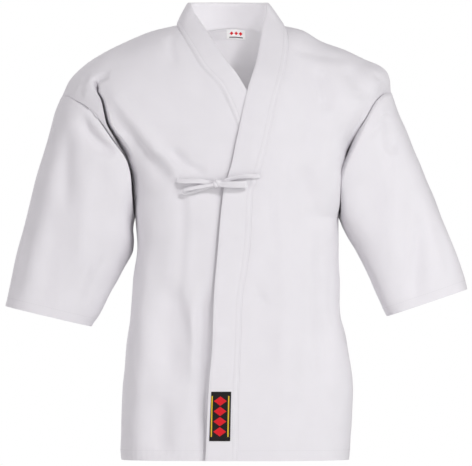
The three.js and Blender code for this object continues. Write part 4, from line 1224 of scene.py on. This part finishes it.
def cloth_material(name, colour, spacing, patch, strength, roughness, bump, sheen):
    material = bpy.data.materials.new(name)
    material.use_nodes = True
    tree = material.node_tree
    shader = tree.nodes["Principled BSDF"]
    shader.inputs["Roughness"].default_value = roughness
    shader.inputs["Sheen Weight"].default_value = sheen
    shader.inputs["Sheen Roughness"].default_value = SHEEN_ROUGHNESS
    shader.inputs["Specular IOR Level"].default_value = COTTON_SPECULAR
    yarns = tree.nodes.new("ShaderNodeGroup")
    yarns.node_tree = weave
    yarns.inputs["Yarn spacing"].default_value = spacing
    tone_and_gap_shade_node = tree.nodes.new("ShaderNodeGroup")
    tone_and_gap_shade_node.node_tree = tone_and_gap_shade_group
    tone_and_gap_shade_node.inputs["Colour"].default_value = colour
    tone_and_gap_shade_node.inputs["Patch size"].default_value = patch
    tone_and_gap_shade_node.inputs["Strength"].default_value = strength
    # The weave's gaps feed the painted shade between the yarns.
    tree.links.new(yarns.outputs["Gap"], tone_and_gap_shade_node.inputs["Gap"])
    tree.links.new(tone_and_gap_shade_node.outputs["Colour"], shader.inputs["Base Color"])
    soft = tree.nodes.new("ShaderNodeBump")
    soft.inputs["Distance"].default_value = SOFT_BUMP_DISTANCE
    soft.inputs["Strength"].default_value = SOFT_BUMP_STRENGTH
    tree.links.new(tone_and_gap_shade_node.outputs["Soft height"], soft.inputs["Height"])
    fine = tree.nodes.new("ShaderNodeBump")
    fine.inputs["Distance"].default_value = spacing * YARN_HEIGHT
    fine.inputs["Strength"].default_value = bump
    tree.links.new(yarns.outputs["Height"], fine.inputs["Height"])
    tree.links.new(soft.outputs[0], fine.inputs["Normal"])
    tree.links.new(fine.outputs[0], shader.inputs["Normal"])
    return material


COTTON = (0.800, 0.785, 0.812, 1)
THREAD = (0.74, 0.73, 0.75, 1)
# name, colour, yarn spacing, patch size, strength of the patches, roughness, bump, sheen
cotton = cloth_material("panel_cotton", COTTON, 0.0011, 0.045, 0.025, 0.95, 0.35, 0.08)
band_cotton = cloth_material("folded_band_cotton", COTTON, 0.0008, 0.030, 0.025, 0.92, 0.35, 0.08)
tie_cotton = cloth_material("tie_cotton", COTTON, 0.0007, 0.020, 0.03, 0.92, 0.4, 0.08)
thread = cloth_material("sewing_thread", THREAD, 0.0004, 0.010, 0.05, 0.8, 0.4, 0.0)
print("materials", [m.name for m in (cotton, band_cotton, tie_cotton, thread)])

# %% [markdown]
# The large folds move the grids first, so that everything after them, the band and the bow too,
# follows the folded cloth. The directions are then worked out once more.

# %% The large folds move the grids
normals, scales = shared_normals(grids)
for name in grids:
    grids[name] = grids[name] + normals[name] * fold_push(grids[name], LARGE_FOLDS)[..., None]
normals, scales = shared_normals(grids)
print("longest step at a seam", round(max(float(scale.max()) for scale in scales.values()), 2))

# %% [markdown]
# A seam pulls the cloth in: it dips along the line of stitches and puckers a little beside it. A
# bump texture could hint at that, but raking light shows the difference, so the surface itself
# dips and puckers. The small folds and the ripples are added to it and fade towards the borders.

# %% Relief of the panels
SEAM_DIP = 0.4
SEAM_DIP_WIDTH = 3.0
PUCKER_HEIGHT = 0.28
PUCKER_REACH = 13.0
PUCKER_START = 3
PUCKER_LENGTH = 11.0
PUCKER_WANDER = 1.7
PUCKER_WANDER_LENGTH = 37
RELIEF_BORDER = 25


def seam_relief(grid, closed):
    rows, sides = border_distance(grid, closed)
    near = np.minimum(rows, sides)
    u, v = flat_place(grid, closed)
    run = np.where(rows < sides, u[:, : grid.shape[1]], v[:, None])
    uneven = np.sin(run / PUCKER_LENGTH * 2 * np.pi + PUCKER_WANDER * np.sin(run / PUCKER_WANDER_LENGTH))
    pucker = PUCKER_HEIGHT * uneven * np.exp(-near / PUCKER_REACH) * (1 - bump(near, PUCKER_START))
    return pucker - SEAM_DIP * bump(near, SEAM_DIP_WIDTH)


relief = {}
for name, grid in grids.items():
    closed = name in CLOSED
    away = ease(np.minimum(*border_distance(grid, closed)), 0, RELIEF_BORDER)
    push = fold_push(grid, SMALL_FOLDS) * away + ripple_push(grid) * away
    if name == "front_right":
        push += crease_push(grid)
    relief[name] = push + seam_relief(grid, closed)
    print(name, "relief", round(float(relief[name].min()), 1), round(float(relief[name].max()), 1), "mm")

# %% [markdown]
# Now each panel gets its outer face, its inner face and its rim, and takes the place of the plain
# solid of the same name. The crevice is pressed almost straight back into the body and not along
# the cloth's direction, which would make it spread.

# %% The panels
CLOTH_WALL = 1.8
SEAM_HALF_GAP = 0.05
CREVICE_DIRECTION = np.array([-0.12, 1.0, 0.0])
outer_grids, panels = {}, {}
for name, grid in grids.items():
    closed = name in CLOSED
    outer = grid + normals[name] * relief[name][..., None]
    if name == "front_right":
        from_border = np.minimum(*border_distance(grid, False))
        outer = outer + crevice_depth(grid, from_border)[..., None] * CREVICE_DIRECTION
    inner = outer - normals[name] * (CLOTH_WALL * scales[name])[..., None]
    outer_grids[name] = draw_in(outer, closed, SEAM_HALF_GAP)
    inner = draw_in(inner, closed, SEAM_HALF_GAP)
    panels[name] = wall_mesh(name + "_cloth", outer_grids[name], inner, closed, cotton)
    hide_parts(name)
    print(name, len(panels[name].data.polygons), "faces")

# %% [markdown]
# The band is a folded strip of the same cotton that runs from one hem up round the neck and down
# to the other. A curve with a flat section could stand for it, but its edge has to follow the
# fronts. So its rows are the fronts' rows: one end of each lies on the seam, the other on the front
# beside it, and behind the neck they stand round the opening.

# %% The line of the band
COLLAR_TOP_X = 56.0
COLLAR_TOP_Z = 43.0
COLLAR_DEPTH = 45.0
COLLAR_FULLNESS = 0.9
COLLAR_RISE = 1.5


def band_side(side):
    name = "front_right" if side < 0 else "front_left"
    seam = grids[name][:, 0]
    start = seam_angle(side, level_z, level_share)
    unfolded = front_point(side, level_z, level_share, start)
    band = SIDES[side]["band"]
    across_x = read_table(band, unfolded[:, 2], "across_x")
    across_z = read_table(band, unfolded[:, 2], "across_z")
    lean = read_table(band, unfolded[:, 2], "lean")
    edge_x = seam[:, 0] + across_x
    edge = front_point(side, level_z, level_share, angle_at_x(side, -1, level_z, level_share, edge_x))
    edge[:, 0] = edge_x
    edge[:, 1] += lean
    edge[:, 2] = seam[:, 2] + across_z
    return seam, edge


def band_rows():
    right_seam, right_edge = band_side(-1)
    left_seam, left_edge = band_side(1)
    neck = grids["back"][-1, FRONT_COLUMNS + 1 : FRONT_COLUMNS + NECK_COLUMNS]
    turn = np.pi * (1 - np.arange(1, NECK_COLUMNS) / NECK_COLUMNS)
    start, stop = right_edge[-1], np.array([COLLAR_TOP_X, right_edge[-1, 1], COLLAR_TOP_Z])
    half = (stop[0] - start[0]) / 2
    ring = np.stack(
        [
            (start[0] + stop[0]) / 2 + half * np.cos(turn),
            start[1] + COLLAR_DEPTH * np.sin(turn) ** COLLAR_FULLNESS,
            start[2] + COLLAR_RISE * np.sin(turn),
        ],
        axis=-1,
    )
    seam = np.concatenate([right_seam, neck, left_seam[::-1]])
    edge = np.concatenate([right_edge, ring, left_edge[::-1]])
    return seam, edge


band_seam, band_edge = band_rows()
width = np.linalg.norm(band_edge - band_seam, axis=-1)[:, None]
print("the band is", round(float(width.min())), "to", round(float(width.max())), "mm wide")

# %% [markdown]
# The band is thicker than the panels, pressed flat, and a little fuller in its middle. Its two
# lines of stitches press it in, and its edges are rounded by the fold of the cloth, inside and
# outside.

# %% The band
BAND_COLUMNS = 22
BAND_WALL = 4.4
BAND_PROUD = 1.1
BAND_CROWN = 0.5
BAND_RIPPLE = 0.35
BAND_SEAM_GAP = 0.1
BAND_STITCH_LINES = (
    # distance from the seam, depth of the dip, its width
    (2.5, 0.35, 1.4),
    (10.0, 0.5, 1.6),
)
# The depth and the reach of the rounding, at the free edge and at the seam.
OUTER_ROUNDING = ((1.0, 2.0), (1.5, 3.0))
INNER_ROUNDING = ((0.8, 2.0), (0.8, 2.0))
across = (np.arange(BAND_COLUMNS + 1) / BAND_COLUMNS)[None, :, None]
band_grid = band_seam[:, None] * (1 - across) + band_edge[:, None] * across
band_normals = outward("band", band_grid)
from_seam = width * across[..., 0]
from_edge = width - from_seam


def rounding(sizes):
    return sum(depth * bump(away, reach) for away, (depth, reach) in zip((from_edge, from_seam), sizes))


stitch_dip = sum(depth * bump(from_seam - line, spread) for line, depth, spread in BAND_STITCH_LINES)
crown = BAND_PROUD + BAND_CROWN * np.sin(np.pi * across[..., 0]) - stitch_dip - rounding(OUTER_ROUNDING)
crown = crown + BAND_RIPPLE * ripple_push(band_grid)
under_side = BAND_PROUD - BAND_WALL + rounding(INNER_ROUNDING)
band_outer = band_grid + band_normals * crown[..., None]
band_inner = band_grid + band_normals * under_side[..., None]
band_walls = [draw_in(face, False, BAND_SEAM_GAP) for face in (band_outer, band_inner)]
band = wall_mesh("collar_band_cloth", *band_walls, False, band_cotton)
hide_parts("collar_band")
print("band", len(band.data.polygons), "faces")

# %% [markdown]
# Stitches hold the band's fold and the hems. Each is a short thread that stands a little proud of
# the cloth. They could be drawn by a texture, but then they would be flat in the model itself, so
# each is a small five-sided bead, turned down at its ends, set on the cloth at even steps.

# %% One line of stitches
STITCH_PITCH = 3.4
STITCH_LENGTH = 2.3
STITCH_RADIUS = 0.33
STITCH_LIFT = 0.1
STITCH_SIDES = 5
STITCH_STATIONS = (
    # place along the stitch, thickness, lift
    (0.0, 0.25, -0.25),
    (0.2, 0.9, 0.1),
    (0.5, 1.0, 0.25),
    (0.8, 0.9, 0.1),
    (1.0, 0.25, -0.25),
)
LOOK_AHEAD = 0.5


def at_lengths(values, run, at):
    return np.stack([np.interp(at, run, values[:, i]) for i in range(3)], axis=-1)


def along_path(points, directions, pitch):
    run = running_length(points)
    at = np.arange(pitch / 2, run[-1] - pitch / 2, pitch)
    place = at_lengths(points, run, at)
    face = unit(at_lengths(directions, run, at))
    return place, face, unit(at_lengths(points, run, at + LOOK_AHEAD) - place)


def stitches(name, paths):
    points, faces = [], []
    for line, directions in paths:
        for place, face, along in zip(*along_path(line, directions, STITCH_PITCH)):
            side = np.cross(face, along)
            first = len(points)
            for share, size, lift in STITCH_STATIONS:
                centre = place + along * (share - 0.5) * STITCH_LENGTH + face * (lift + STITCH_LIFT)
                for k in range(STITCH_SIDES):
                    turn = 2 * math.pi * k / STITCH_SIDES
                    ring = side * math.cos(turn) + face * math.sin(turn)
                    points.append(centre + ring * STITCH_RADIUS * size)
            count = len(STITCH_STATIONS)
            for s in range(count - 1):
                for k in range(STITCH_SIDES):
                    a, b = first + s * STITCH_SIDES + k, first + s * STITCH_SIDES + (k + 1) % STITCH_SIDES
                    faces.append((a, b, b + STITCH_SIDES, a + STITCH_SIDES))
            faces.append(tuple(first + k for k in reversed(range(STITCH_SIDES))))
            faces.append(tuple(first + (count - 1) * STITCH_SIDES + k for k in range(STITCH_SIDES)))
    thing = make_mesh(name, np.array(points) / 1000, faces, thread, None, None)
    return thing


print("a stitch every", STITCH_PITCH, "mm")

# %% [markdown]
# Two lines run along the band, beside its seam, and one round each hem and cuff. A line keeps its
# distance from the edge on the folded cloth, as the foot of a sewing machine does.

# %% The lines of stitches
HEM_STITCH_HEIGHT = 18.0
CUFF_STITCH_HEIGHT = 16.0


def line_at_distance(grid, directions, from_start, distance):
    index = np.array([np.interp(distance, row, np.arange(len(row))) for row in from_start])
    low = np.clip(index.astype(int), 0, grid.shape[1] - 2)
    part = (index - low)[:, None]
    row = np.arange(grid.shape[0])
    point = grid[row, low] * (1 - part) + grid[row, low + 1] * part
    face = directions[row, low] * (1 - part) + directions[row, low + 1] * part
    return point, unit(face)


def ring_line(name, distance, from_last):
    grid, face = outer_grids[name], normals[name]
    if from_last:
        grid, face = grid[::-1], face[::-1]
    columns_first = [np.swapaxes(values, 0, 1) for values in (grid, face, running_length(grid))]
    return line_at_distance(*columns_first, distance)


STITCHES = {
    "band_stitches": [
        line_at_distance(band_outer, band_normals, from_seam, line[0]) for line in BAND_STITCH_LINES
    ],
    "hem_stitches": [
        ring_line(name, HEM_STITCH_HEIGHT, False) for name in ("front_right", "front_left", "back")
    ],
    "cuff_stitches": [ring_line(name, CUFF_STITCH_HEIGHT, True) for name in ("sleeve_right", "sleeve_left")],
}
for name, paths in STITCHES.items():
    print(name, len(stitches(name, paths).data.polygons), "faces")

# %% [markdown]
# Two labels are sewn on: a small white one inside the neck and a taller dark one low on the band.
# A label is a thin wall that is read off the cloth under it, so that it bends just as the cloth
# does. It is thinner at its edges, where the needle pulls it down.

# %% Laying a label on the cloth
LABEL_THICKNESS = 0.8
LABEL_EDGE_SHARE = 0.55
LABEL_EDGE_STEEP = (40, 16)
LAID_ON_GAP = 0.4
LABEL_COLUMNS = 24


def on_grid(grid, row, column):
    r = np.clip(np.floor(row).astype(int), 0, grid.shape[0] - 2)
    c = np.clip(np.floor(column).astype(int), 0, grid.shape[1] - 2)
    down, across = (row - r)[..., None], (column - c)[..., None]
    low = grid[r, c] * (1 - across) + grid[r, c + 1] * across
    high = grid[r + 1, c] * (1 - across) + grid[r + 1, c + 1] * across
    return low * (1 - down) + high * down


def laid_on(name, grid, faces_to, rows, columns, lift, material):
    point = on_grid(grid, rows, columns)
    face = unit(on_grid(faces_to, rows, columns))
    share_r = np.linspace(0, 1, rows.shape[0])[:, None]
    share_c = np.linspace(0, 1, rows.shape[1])[None, :]
    from_ends = np.minimum(share_r, 1 - share_r) * LABEL_EDGE_STEEP[0]
    from_sides = np.minimum(share_c, 1 - share_c) * LABEL_EDGE_STEEP[1]
    full = np.clip(np.minimum(from_ends, from_sides), 0, 1)
    soft = LABEL_THICKNESS * (LABEL_EDGE_SHARE + (1 - LABEL_EDGE_SHARE) * full)
    sign = math.copysign(1, lift)
    outer = point + face * (lift + sign * soft)[..., None]
    inner = point + face * lift
    return wall_mesh(name, outer, inner, False, material)


print("a label is", LABEL_THICKNESS, "mm thick")

# %% [markdown]
# Both labels carry a plain woven design of red lozenges with a thin bar or two beside them. It
# could be a picture, but sums on the label's own flat place stay sharp and need no file. Each shape
# is a mask of ones and zeros, and the colours are laid over one another by the masks.

# %% Woven labels
# yarn spacing, patch size, strength of the patches, roughness, bump, sheen
LABEL_CLOTH = (0.0005, 0.012, 0.10, 0.7, 0.5, 0.0)


def label_material(name, ground, shapes):
    material = cloth_material(name, ground, *LABEL_CLOTH)
    tree = material.node_tree
    shader = tree.nodes["Principled BSDF"]
    place, along, across = cloth_place(tree)
    if shapes["upright"]:
        along, across = across, along
    base = shader.inputs["Base Color"].links[0].from_socket
    aside = add_math(tree, "SUBTRACT", across, shapes["middle"])
    away = add_math(tree, "ABSOLUTE", aside)
    bar_from = away if shapes["both_sides"] else aside
    bar = add_math(
        tree, "LESS_THAN",
        add_math(tree, "ABSOLUTE", add_math(tree, "SUBTRACT", bar_from, shapes["bar_at"])),
        shapes["bar_half"],
    )
    turns = add_math(tree, "DIVIDE", add_math(tree, "SUBTRACT", along, shapes["first"]), shapes["pitch"])
    inside = add_math(
        tree, "MULTIPLY", add_math(tree, "GREATER_THAN", turns, 0.0),
        add_math(tree, "LESS_THAN", turns, shapes["count"]),
    )
    part = add_math(tree, "ABSOLUTE", add_math(tree, "SUBTRACT", add_math(tree, "FRACT", turns), 0.5))
    reach = add_math(
        tree, "ADD", add_math(tree, "DIVIDE", away, shapes["half_width"]),
        add_math(tree, "DIVIDE", part, shapes["half_part"]),
    )
    lozenge = add_math(tree, "MULTIPLY", add_math(tree, "LESS_THAN", reach, 1.0), inside)
    bar = add_math(tree, "MULTIPLY", bar, inside)
    for mask, colour in ((bar, shapes["bar_colour"]), (lozenge, shapes["colour"])):
        mix = tree.nodes.new("ShaderNodeMix")
        mix.data_type = "RGBA"
        mix.inputs["B"].default_value = colour
        tree.links.new(mask, mix.inputs["Factor"])
        tree.links.new(base, mix.inputs["A"])
        base = mix.outputs["Result"]
    tree.links.new(base, shader.inputs["Base Color"])
    return material


LABEL_WIDTH = 0.0372
DARK_GROUND = (0.012, 0.010, 0.011, 1)
WHITE_GROUND = (0.95, 0.94, 0.94, 1)
RED = (0.70, 0.012, 0.022, 1)
dark_label = label_material(
    "dark_label", DARK_GROUND,
    dict(
        upright=True, both_sides=True, middle=LABEL_WIDTH / 2, bar_half=0.0011, bar_at=0.0145,
        bar_colour=(0.72, 0.50, 0.03, 1), first=0.0075, pitch=0.0178, count=4.0,
        half_width=0.0112, half_part=0.46, colour=RED,
    ),
)
white_label = label_material(
    "white_label", WHITE_GROUND,
    dict(
        upright=False, both_sides=False, middle=0.0075, bar_half=0.0009, bar_at=0.0075,
        bar_colour=(0.03, 0.03, 0.03, 1), first=0.0050, pitch=0.0080, count=3.0,
        half_width=0.0038, half_part=0.44, colour=RED,
    ),
)
print("label cloth", dark_label.name, white_label.name)

# %% [markdown]
# The dark label lies on the band, low on the wearer's left. Its rows are found by their height on
# that side of the band, and its columns are shares of the band's width.

# %% The label on the band
HEM_LABEL_TOP = -639.0
HEM_LABEL_FOOT = -725.0
HEM_LABEL_FROM = 0.25
HEM_LABEL_TO = 0.905
LABEL_ROWS = 60
first_left = len(band_outer) - len(level_z)
label_z = band_outer[first_left:, BAND_COLUMNS // 2, 2]
label_rows = first_left + np.interp(
    -np.linspace(HEM_LABEL_TOP, HEM_LABEL_FOOT, LABEL_ROWS + 1), -label_z, np.arange(len(label_z))
)
label_columns = np.linspace(HEM_LABEL_FROM, HEM_LABEL_TO, LABEL_COLUMNS + 1) * BAND_COLUMNS
label_grids = np.meshgrid(label_rows, label_columns, indexing="ij")
hem_label = laid_on("hem_label_woven", band_outer, band_normals, *label_grids, LAID_ON_GAP, dark_label)
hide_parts("hem_label")

# %% [markdown]
# The white label hangs inside the neck, under the band's seam, on the inner face of the back. Down
# each of its columns the distance from the seam is measured on the cloth, so it isn't stretched.

# %% The label in the neck
NECK_LABEL_HALF = 17.0
NECK_LABEL_HEIGHT = 20.0
NECK_LABEL_SEAM = 1.2
NECK_LABEL_ROWS = 16
back = outer_grids["back"]
neck_top_row = back.shape[0] - 1
neck_x = np.linspace(-NECK_LABEL_HALF, NECK_LABEL_HALF, LABEL_COLUMNS + 1)
neck_columns = np.interp(neck_x, back[-1, :, 0], np.arange(back.shape[1]))
below_seam = np.linspace(NECK_LABEL_SEAM, NECK_LABEL_HEIGHT, NECK_LABEL_ROWS)
neck_rows = []
for column in neck_columns:
    line = on_grid(back, np.arange(neck_top_row + 1.0), np.full(neck_top_row + 1, column))
    away = np.linalg.norm(line - line[-1], axis=1)
    neck_rows.append(np.interp(below_seam, away[::-1], np.arange(neck_top_row, -1, -1.0)))
neck_label = laid_on(
    "neck_label_woven", back, normals["back"], np.array(neck_rows).T,
    np.tile(neck_columns, (NECK_LABEL_ROWS, 1)), -CLOTH_WALL - LAID_ON_GAP, white_label,
)
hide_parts("neck_label")

# %% [markdown]
# The chest tie is a narrow sewn string in two halves, knotted into a small bow. Its strings are
# flat and soft: they lie on the cloth, stand up a little where they cross, and turn back on
# themselves in the loops. A simulation would find that by itself but hardly the same bow, so each
# string is laid along a chosen line. For that, the depth of the cloth under it has to be known.

# %% The cloth under the bow
RIBBON_STEPS = 12
RIBBON_SIDES_AT = (-5, 0, 5)
DEPTH_REACH = 4.2
front_cloth = np.concatenate(
    [sheet.reshape(-1, 3) for sheet in (outer_grids["front_right"], outer_grids["front_left"], band_outer)]
)


def depth_at(x, z):
    near = (np.abs(front_cloth[:, 0] - x) < DEPTH_REACH) & (np.abs(front_cloth[:, 2] - z) < DEPTH_REACH)
    return front_cloth[near, 1].min()


def smooth_line(values):
    values = np.asarray(values, float)
    padded = np.concatenate([[2 * values[0] - values[1]], values, [2 * values[-1] - values[-2]]])
    result = []
    for i in range(len(values) - 1):
        a, b, c, d = padded[i : i + 4]
        bend = 2 * a - 5 * b + 4 * c - d
        twist = 3 * b - a - 3 * c + d
        for t in np.arange(RIBBON_STEPS) / RIBBON_STEPS:
            result.append(0.5 * (2 * b + (c - a) * t + bend * t**2 + twist * t**3))
    return np.array(result + [values[-1]])


def cloth_under(rows):
    places = zip(smooth_line(rows["x"]), smooth_line(rows["z"]))
    return np.array([min(depth_at(x, z + aside) for aside in RIBBON_SIDES_AT) for x, z in places])


def evened(values, window):
    kernel = np.ones(window) / window
    return np.convolve(np.pad(values, window // 2, mode="edge"), kernel, mode="valid")


print("points of cloth to lie on", len(front_cloth))

# %% [markdown]
# A ribbon is one flat rounded section carried along its line. A curve object with a bevel would
# turn by itself in the loops, so the section's own directions are worked out at every step: along
# the line, across the ribbon and off the cloth.

# %% Ribbons
RIBBON_THICKNESS = 2.0
RIBBON_SECTION = np.array(
    [(-0.5, 0.0), (-0.47, 0.36), (-0.38, 0.5), (-0.19, 0.56), (0.0, 0.58), (0.19, 0.56), (0.38, 0.5),
     (0.47, 0.36), (0.5, 0.0), (0.47, -0.36), (0.38, -0.45), (0.0, -0.48), (-0.38, -0.45), (-0.47, -0.36)]
)


def ribbon(name, rows, base):
    x, z, lift, width = [smooth_line(rows[column]) for column in ("x", "z", "lift", "width")]
    turned = np.radians(smooth_line(rows["turned"]))
    line = np.stack([x, base - lift, z], axis=-1)
    along = unit(np.gradient(line, axis=0))
    front = np.array([0.0, -1.0, 0.0])
    # Where the ribbon runs straight at the viewer, its width stays upright.
    across = unit(np.cross(np.tile(front, (len(line), 1)), along) + np.array([0, 0, 1e-3]))
    for i in range(1, len(across)):
        if across[i] @ across[i - 1] < 0:
            across[i] = -across[i]
    up = unit(np.cross(along, across))
    cos, sin = np.cos(turned)[:, None], np.sin(turned)[:, None]
    across, up = across * cos + up * sin, up * cos - across * sin
    rings = (
        line[:, None]
        + across[:, None] * (RIBBON_SECTION[None, :, :1] * width[:, None, None])
        + up[:, None] * (RIBBON_SECTION[None, :, 1:] * RIBBON_THICKNESS)
    )
    count, sides = rings.shape[:2]
    points = rings.reshape(-1, 3)
    faces = cell_corners(ringed(np.arange(count * sides).reshape(count, sides), True))
    caps = [tuple(range(sides))[::-1], tuple((count - 1) * sides + k for k in range(sides))]
    all_faces = [tuple(face) for face in faces] + caps
    run = running_length(line)
    us = cell_corners(np.tile(running_length(ringed(rings[:1], True)[0]), (count, 1)))
    vs = cell_corners(np.repeat(run[:, None], sides + 1, axis=1))
    if faces_inward(points, faces):
        all_faces = [face[::-1] for face in all_faces]
        us, vs = us[:, ::-1], vs[:, ::-1]
    on_caps = np.zeros(2 * sides)
    us, vs = [np.concatenate([values.reshape(-1), on_caps]) for values in (us, vs)]
    thing = make_mesh(name, points / 1000, all_faces, tie_cotton, us, vs)
    return thing, run[-1]


print("corners of a ribbon's section", len(RIBBON_SECTION))

# %% [markdown]
# The bow is four ribbons: the two halves of the tie and the two loops. Each row of a table gives a
# place on the ribbon's line, how far its middle stands off the cloth, its width, and how far it is
# turned about its own line.

# %% The lines of the four strings
TIE_RIGHT = table(
    "x z lift width turned",
    (-103, -270.5, 2.2, 8.0, -10),
    (-95, -272, 5.4, 9.8, -24),
    (-82, -272.2, 7.4, 10.0, -28),
    (-66, -271.8, 7.8, 10.0, -26),
    (-52, -273.8, 6.6, 9.0, -16),
    (-42, -276, 4.6, 8.0, 0),
)
TIE_LEFT = table(
    "x z lift width turned",
    (42, -263.6, 1.0, 7.4, 0),
    (34, -263.4, 3.4, 8.4, -14),
    (22, -263.6, 6.4, 8.6, -26),
    (8, -264.6, 7.4, 8.4, -28),
    (-8, -267.6, 6.4, 7.6, -20),
    (-20, -272.0, 4.4, 7.0, 0),
)
LOOP_RIGHT = table(
    "x z lift width turned",
    (-30, -277.5, 4.6, 8.5, 0),
    (-18, -278.0, 5.4, 11.0, 0),
    (-2, -278.0, 5.4, 11.6, 0),
    (11, -277.6, 5.2, 11.8, 0),
    (16.6, -277.4, 6.4, 11.8, 0),
    (17.6, -277.4, 8.6, 11.8, 0),
    (14.6, -277.7, 11.4, 11.6, -8),
    (2, -278.4, 13.0, 11.4, -14),
    (-14, -278.4, 11.8, 10.8, -12),
    (-28, -277.5, 8.6, 8.5, 0),
)
LOOP_LEFT = table(
    "x z lift width turned",
    (-38, -280.5, 3.8, 5.0, 0),
    (-52, -284.0, 5.0, 5.6, -20),
    (-66, -288.5, 5.4, 6.2, -32),
    (-79, -292.5, 5.0, 6.6, -32),
    (-88, -293.6, 5.4, 6.8, -14),
    (-92.5, -291.2, 7.2, 7.0, 0),
    (-89, -288.2, 10.2, 7.2, -12),
    (-76, -284.8, 12.2, 7.2, -24),
    (-58, -281.4, 11.2, 6.6, -18),
    (-38, -278.5, 7.8, 5.5, 0),
)


print("rows of the loops", len(LOOP_RIGHT["x"]), len(LOOP_LEFT["x"]))

# %% [markdown]
# The halves of the tie lie on the fronts and run into the knot. The loops start at the knot, so
# near it they lie no deeper than the knot does. The cloth's small dents are evened out first,
# because a sewn string is too stiff to follow them.

# %% The tie and its bow
KNOT_X, KNOT_Z = -32.0, -276.5
KNOT_REACH = 15
TIE_EVENED = 9
LOOP_EVENED = 17
KNOT_TESTS = [(KNOT_X + aside, KNOT_Z + up) for aside in (-8, 0, 8) for up in (-6, 0, 6)]
knot_base = min(depth_at(x, z) for x, z in KNOT_TESTS)


def tie_base(rows):
    return evened(cloth_under(rows), TIE_EVENED)


def loop_base(rows):
    under = cloth_under(rows)
    beside = np.abs(smooth_line(rows["x"]) - KNOT_X) < KNOT_REACH
    return evened(np.where(beside, np.minimum(under, knot_base), under), LOOP_EVENED)


tie_right, tie_right_length = ribbon("tie_right_string", TIE_RIGHT, tie_base(TIE_RIGHT))
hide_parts("tie_right")
tie_left, tie_left_length = ribbon("tie_left_string", TIE_LEFT, tie_base(TIE_LEFT))
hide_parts("tie_left")
loop_right, loop_right_length = ribbon("bow_loop_right", LOOP_RIGHT, loop_base(LOOP_RIGHT))
loop_left, loop_left_length = ribbon("bow_loop_left", LOOP_LEFT, loop_base(LOOP_LEFT))
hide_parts("bow_knot")
print("halves of the tie", round(tie_right_length), round(tie_left_length), "mm")
print("loops", round(loop_right_length), round(loop_left_length), "mm")

# %% [markdown]
# The knot is where the string wraps round itself. Tied string could be modelled strand by strand,
# but at this size only a small lump with two creases shows, so it is a ball, flattened towards the
# cloth, with the creases pressed in where the string passes over it.

# %% The knot
KNOT_ROWS = 40
KNOT_COLUMNS = 56
KNOT_RADII = (8.6, 4.9, 7.4)
KNOT_LIFT = 0.6
KNOT_FULLNESS = 0.75
KNOT_CREASE = 0.16
KNOT_UNEVEN = 0.04
KNOT_WAVES = (5, 3)
KNOT_CLOTH_STEPS = (0.8, 0.6)
KNOT_WRAPS = (
    # how far the crease slants across and up, its place, its width, its depth
    (0.8, 0.45, 0.28, 0.11, 1.0),
    (0.75, -0.5, -0.42, 0.12, 0.8),
)


def knot_point(tilt, turn):
    out = signed_power(math.sin(tilt), KNOT_FULLNESS)
    x, y, z = out * math.cos(turn), out * math.sin(turn), math.cos(tilt)
    wrap = sum(
        depth * bump(x * across + z * up + place, width) for across, up, place, width, depth in KNOT_WRAPS
    )
    size = 1 - KNOT_CREASE * wrap + KNOT_UNEVEN * math.sin(KNOT_WAVES[0] * x + KNOT_WAVES[1] * z)
    return (
        KNOT_X + KNOT_RADII[0] * x * size,
        knot_base - KNOT_LIFT - KNOT_RADII[1] * (1 + y * size),
        KNOT_Z + KNOT_RADII[2] * z * size,
    )


knot_points = [
    knot_point(math.pi * r / KNOT_ROWS, 2 * math.pi * c / KNOT_COLUMNS)
    for r in range(KNOT_ROWS + 1)
    for c in range(KNOT_COLUMNS)
]
knot_index = np.arange(len(knot_points)).reshape(KNOT_ROWS + 1, KNOT_COLUMNS)
knot_faces = cell_corners(ringed(knot_index, True))[:, [0, 3, 2, 1]]
knot_u = (knot_faces % KNOT_COLUMNS) * KNOT_CLOTH_STEPS[0]
knot_v = (knot_faces // KNOT_COLUMNS) * KNOT_CLOTH_STEPS[1]
knot = make_mesh("bow_knot_wrapped", np.array(knot_points) / 1000, knot_faces, tie_cotton, knot_u, knot_v)
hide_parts("bow_knot")
print("knot at", KNOT_X, KNOT_Z)

# %% [markdown]
# The two labels are listed with the width and length they were cut to, in mm, and the piece that
# each lies on, and their flat sizes are printed.


LABELS = (
    # piece, width and length in mm, what it lies on
    (hem_label, 1000 * LABEL_WIDTH, HEM_LABEL_TOP - HEM_LABEL_FOOT, "collar_band_cloth"),
    (neck_label, 2 * NECK_LABEL_HALF, NECK_LABEL_HEIGHT - NECK_LABEL_SEAM, "back_cloth"),
)
for label, wide, long, under in LABELS:
    print(label.name, "flat", round(wide, 1), round(long, 1), "mm")
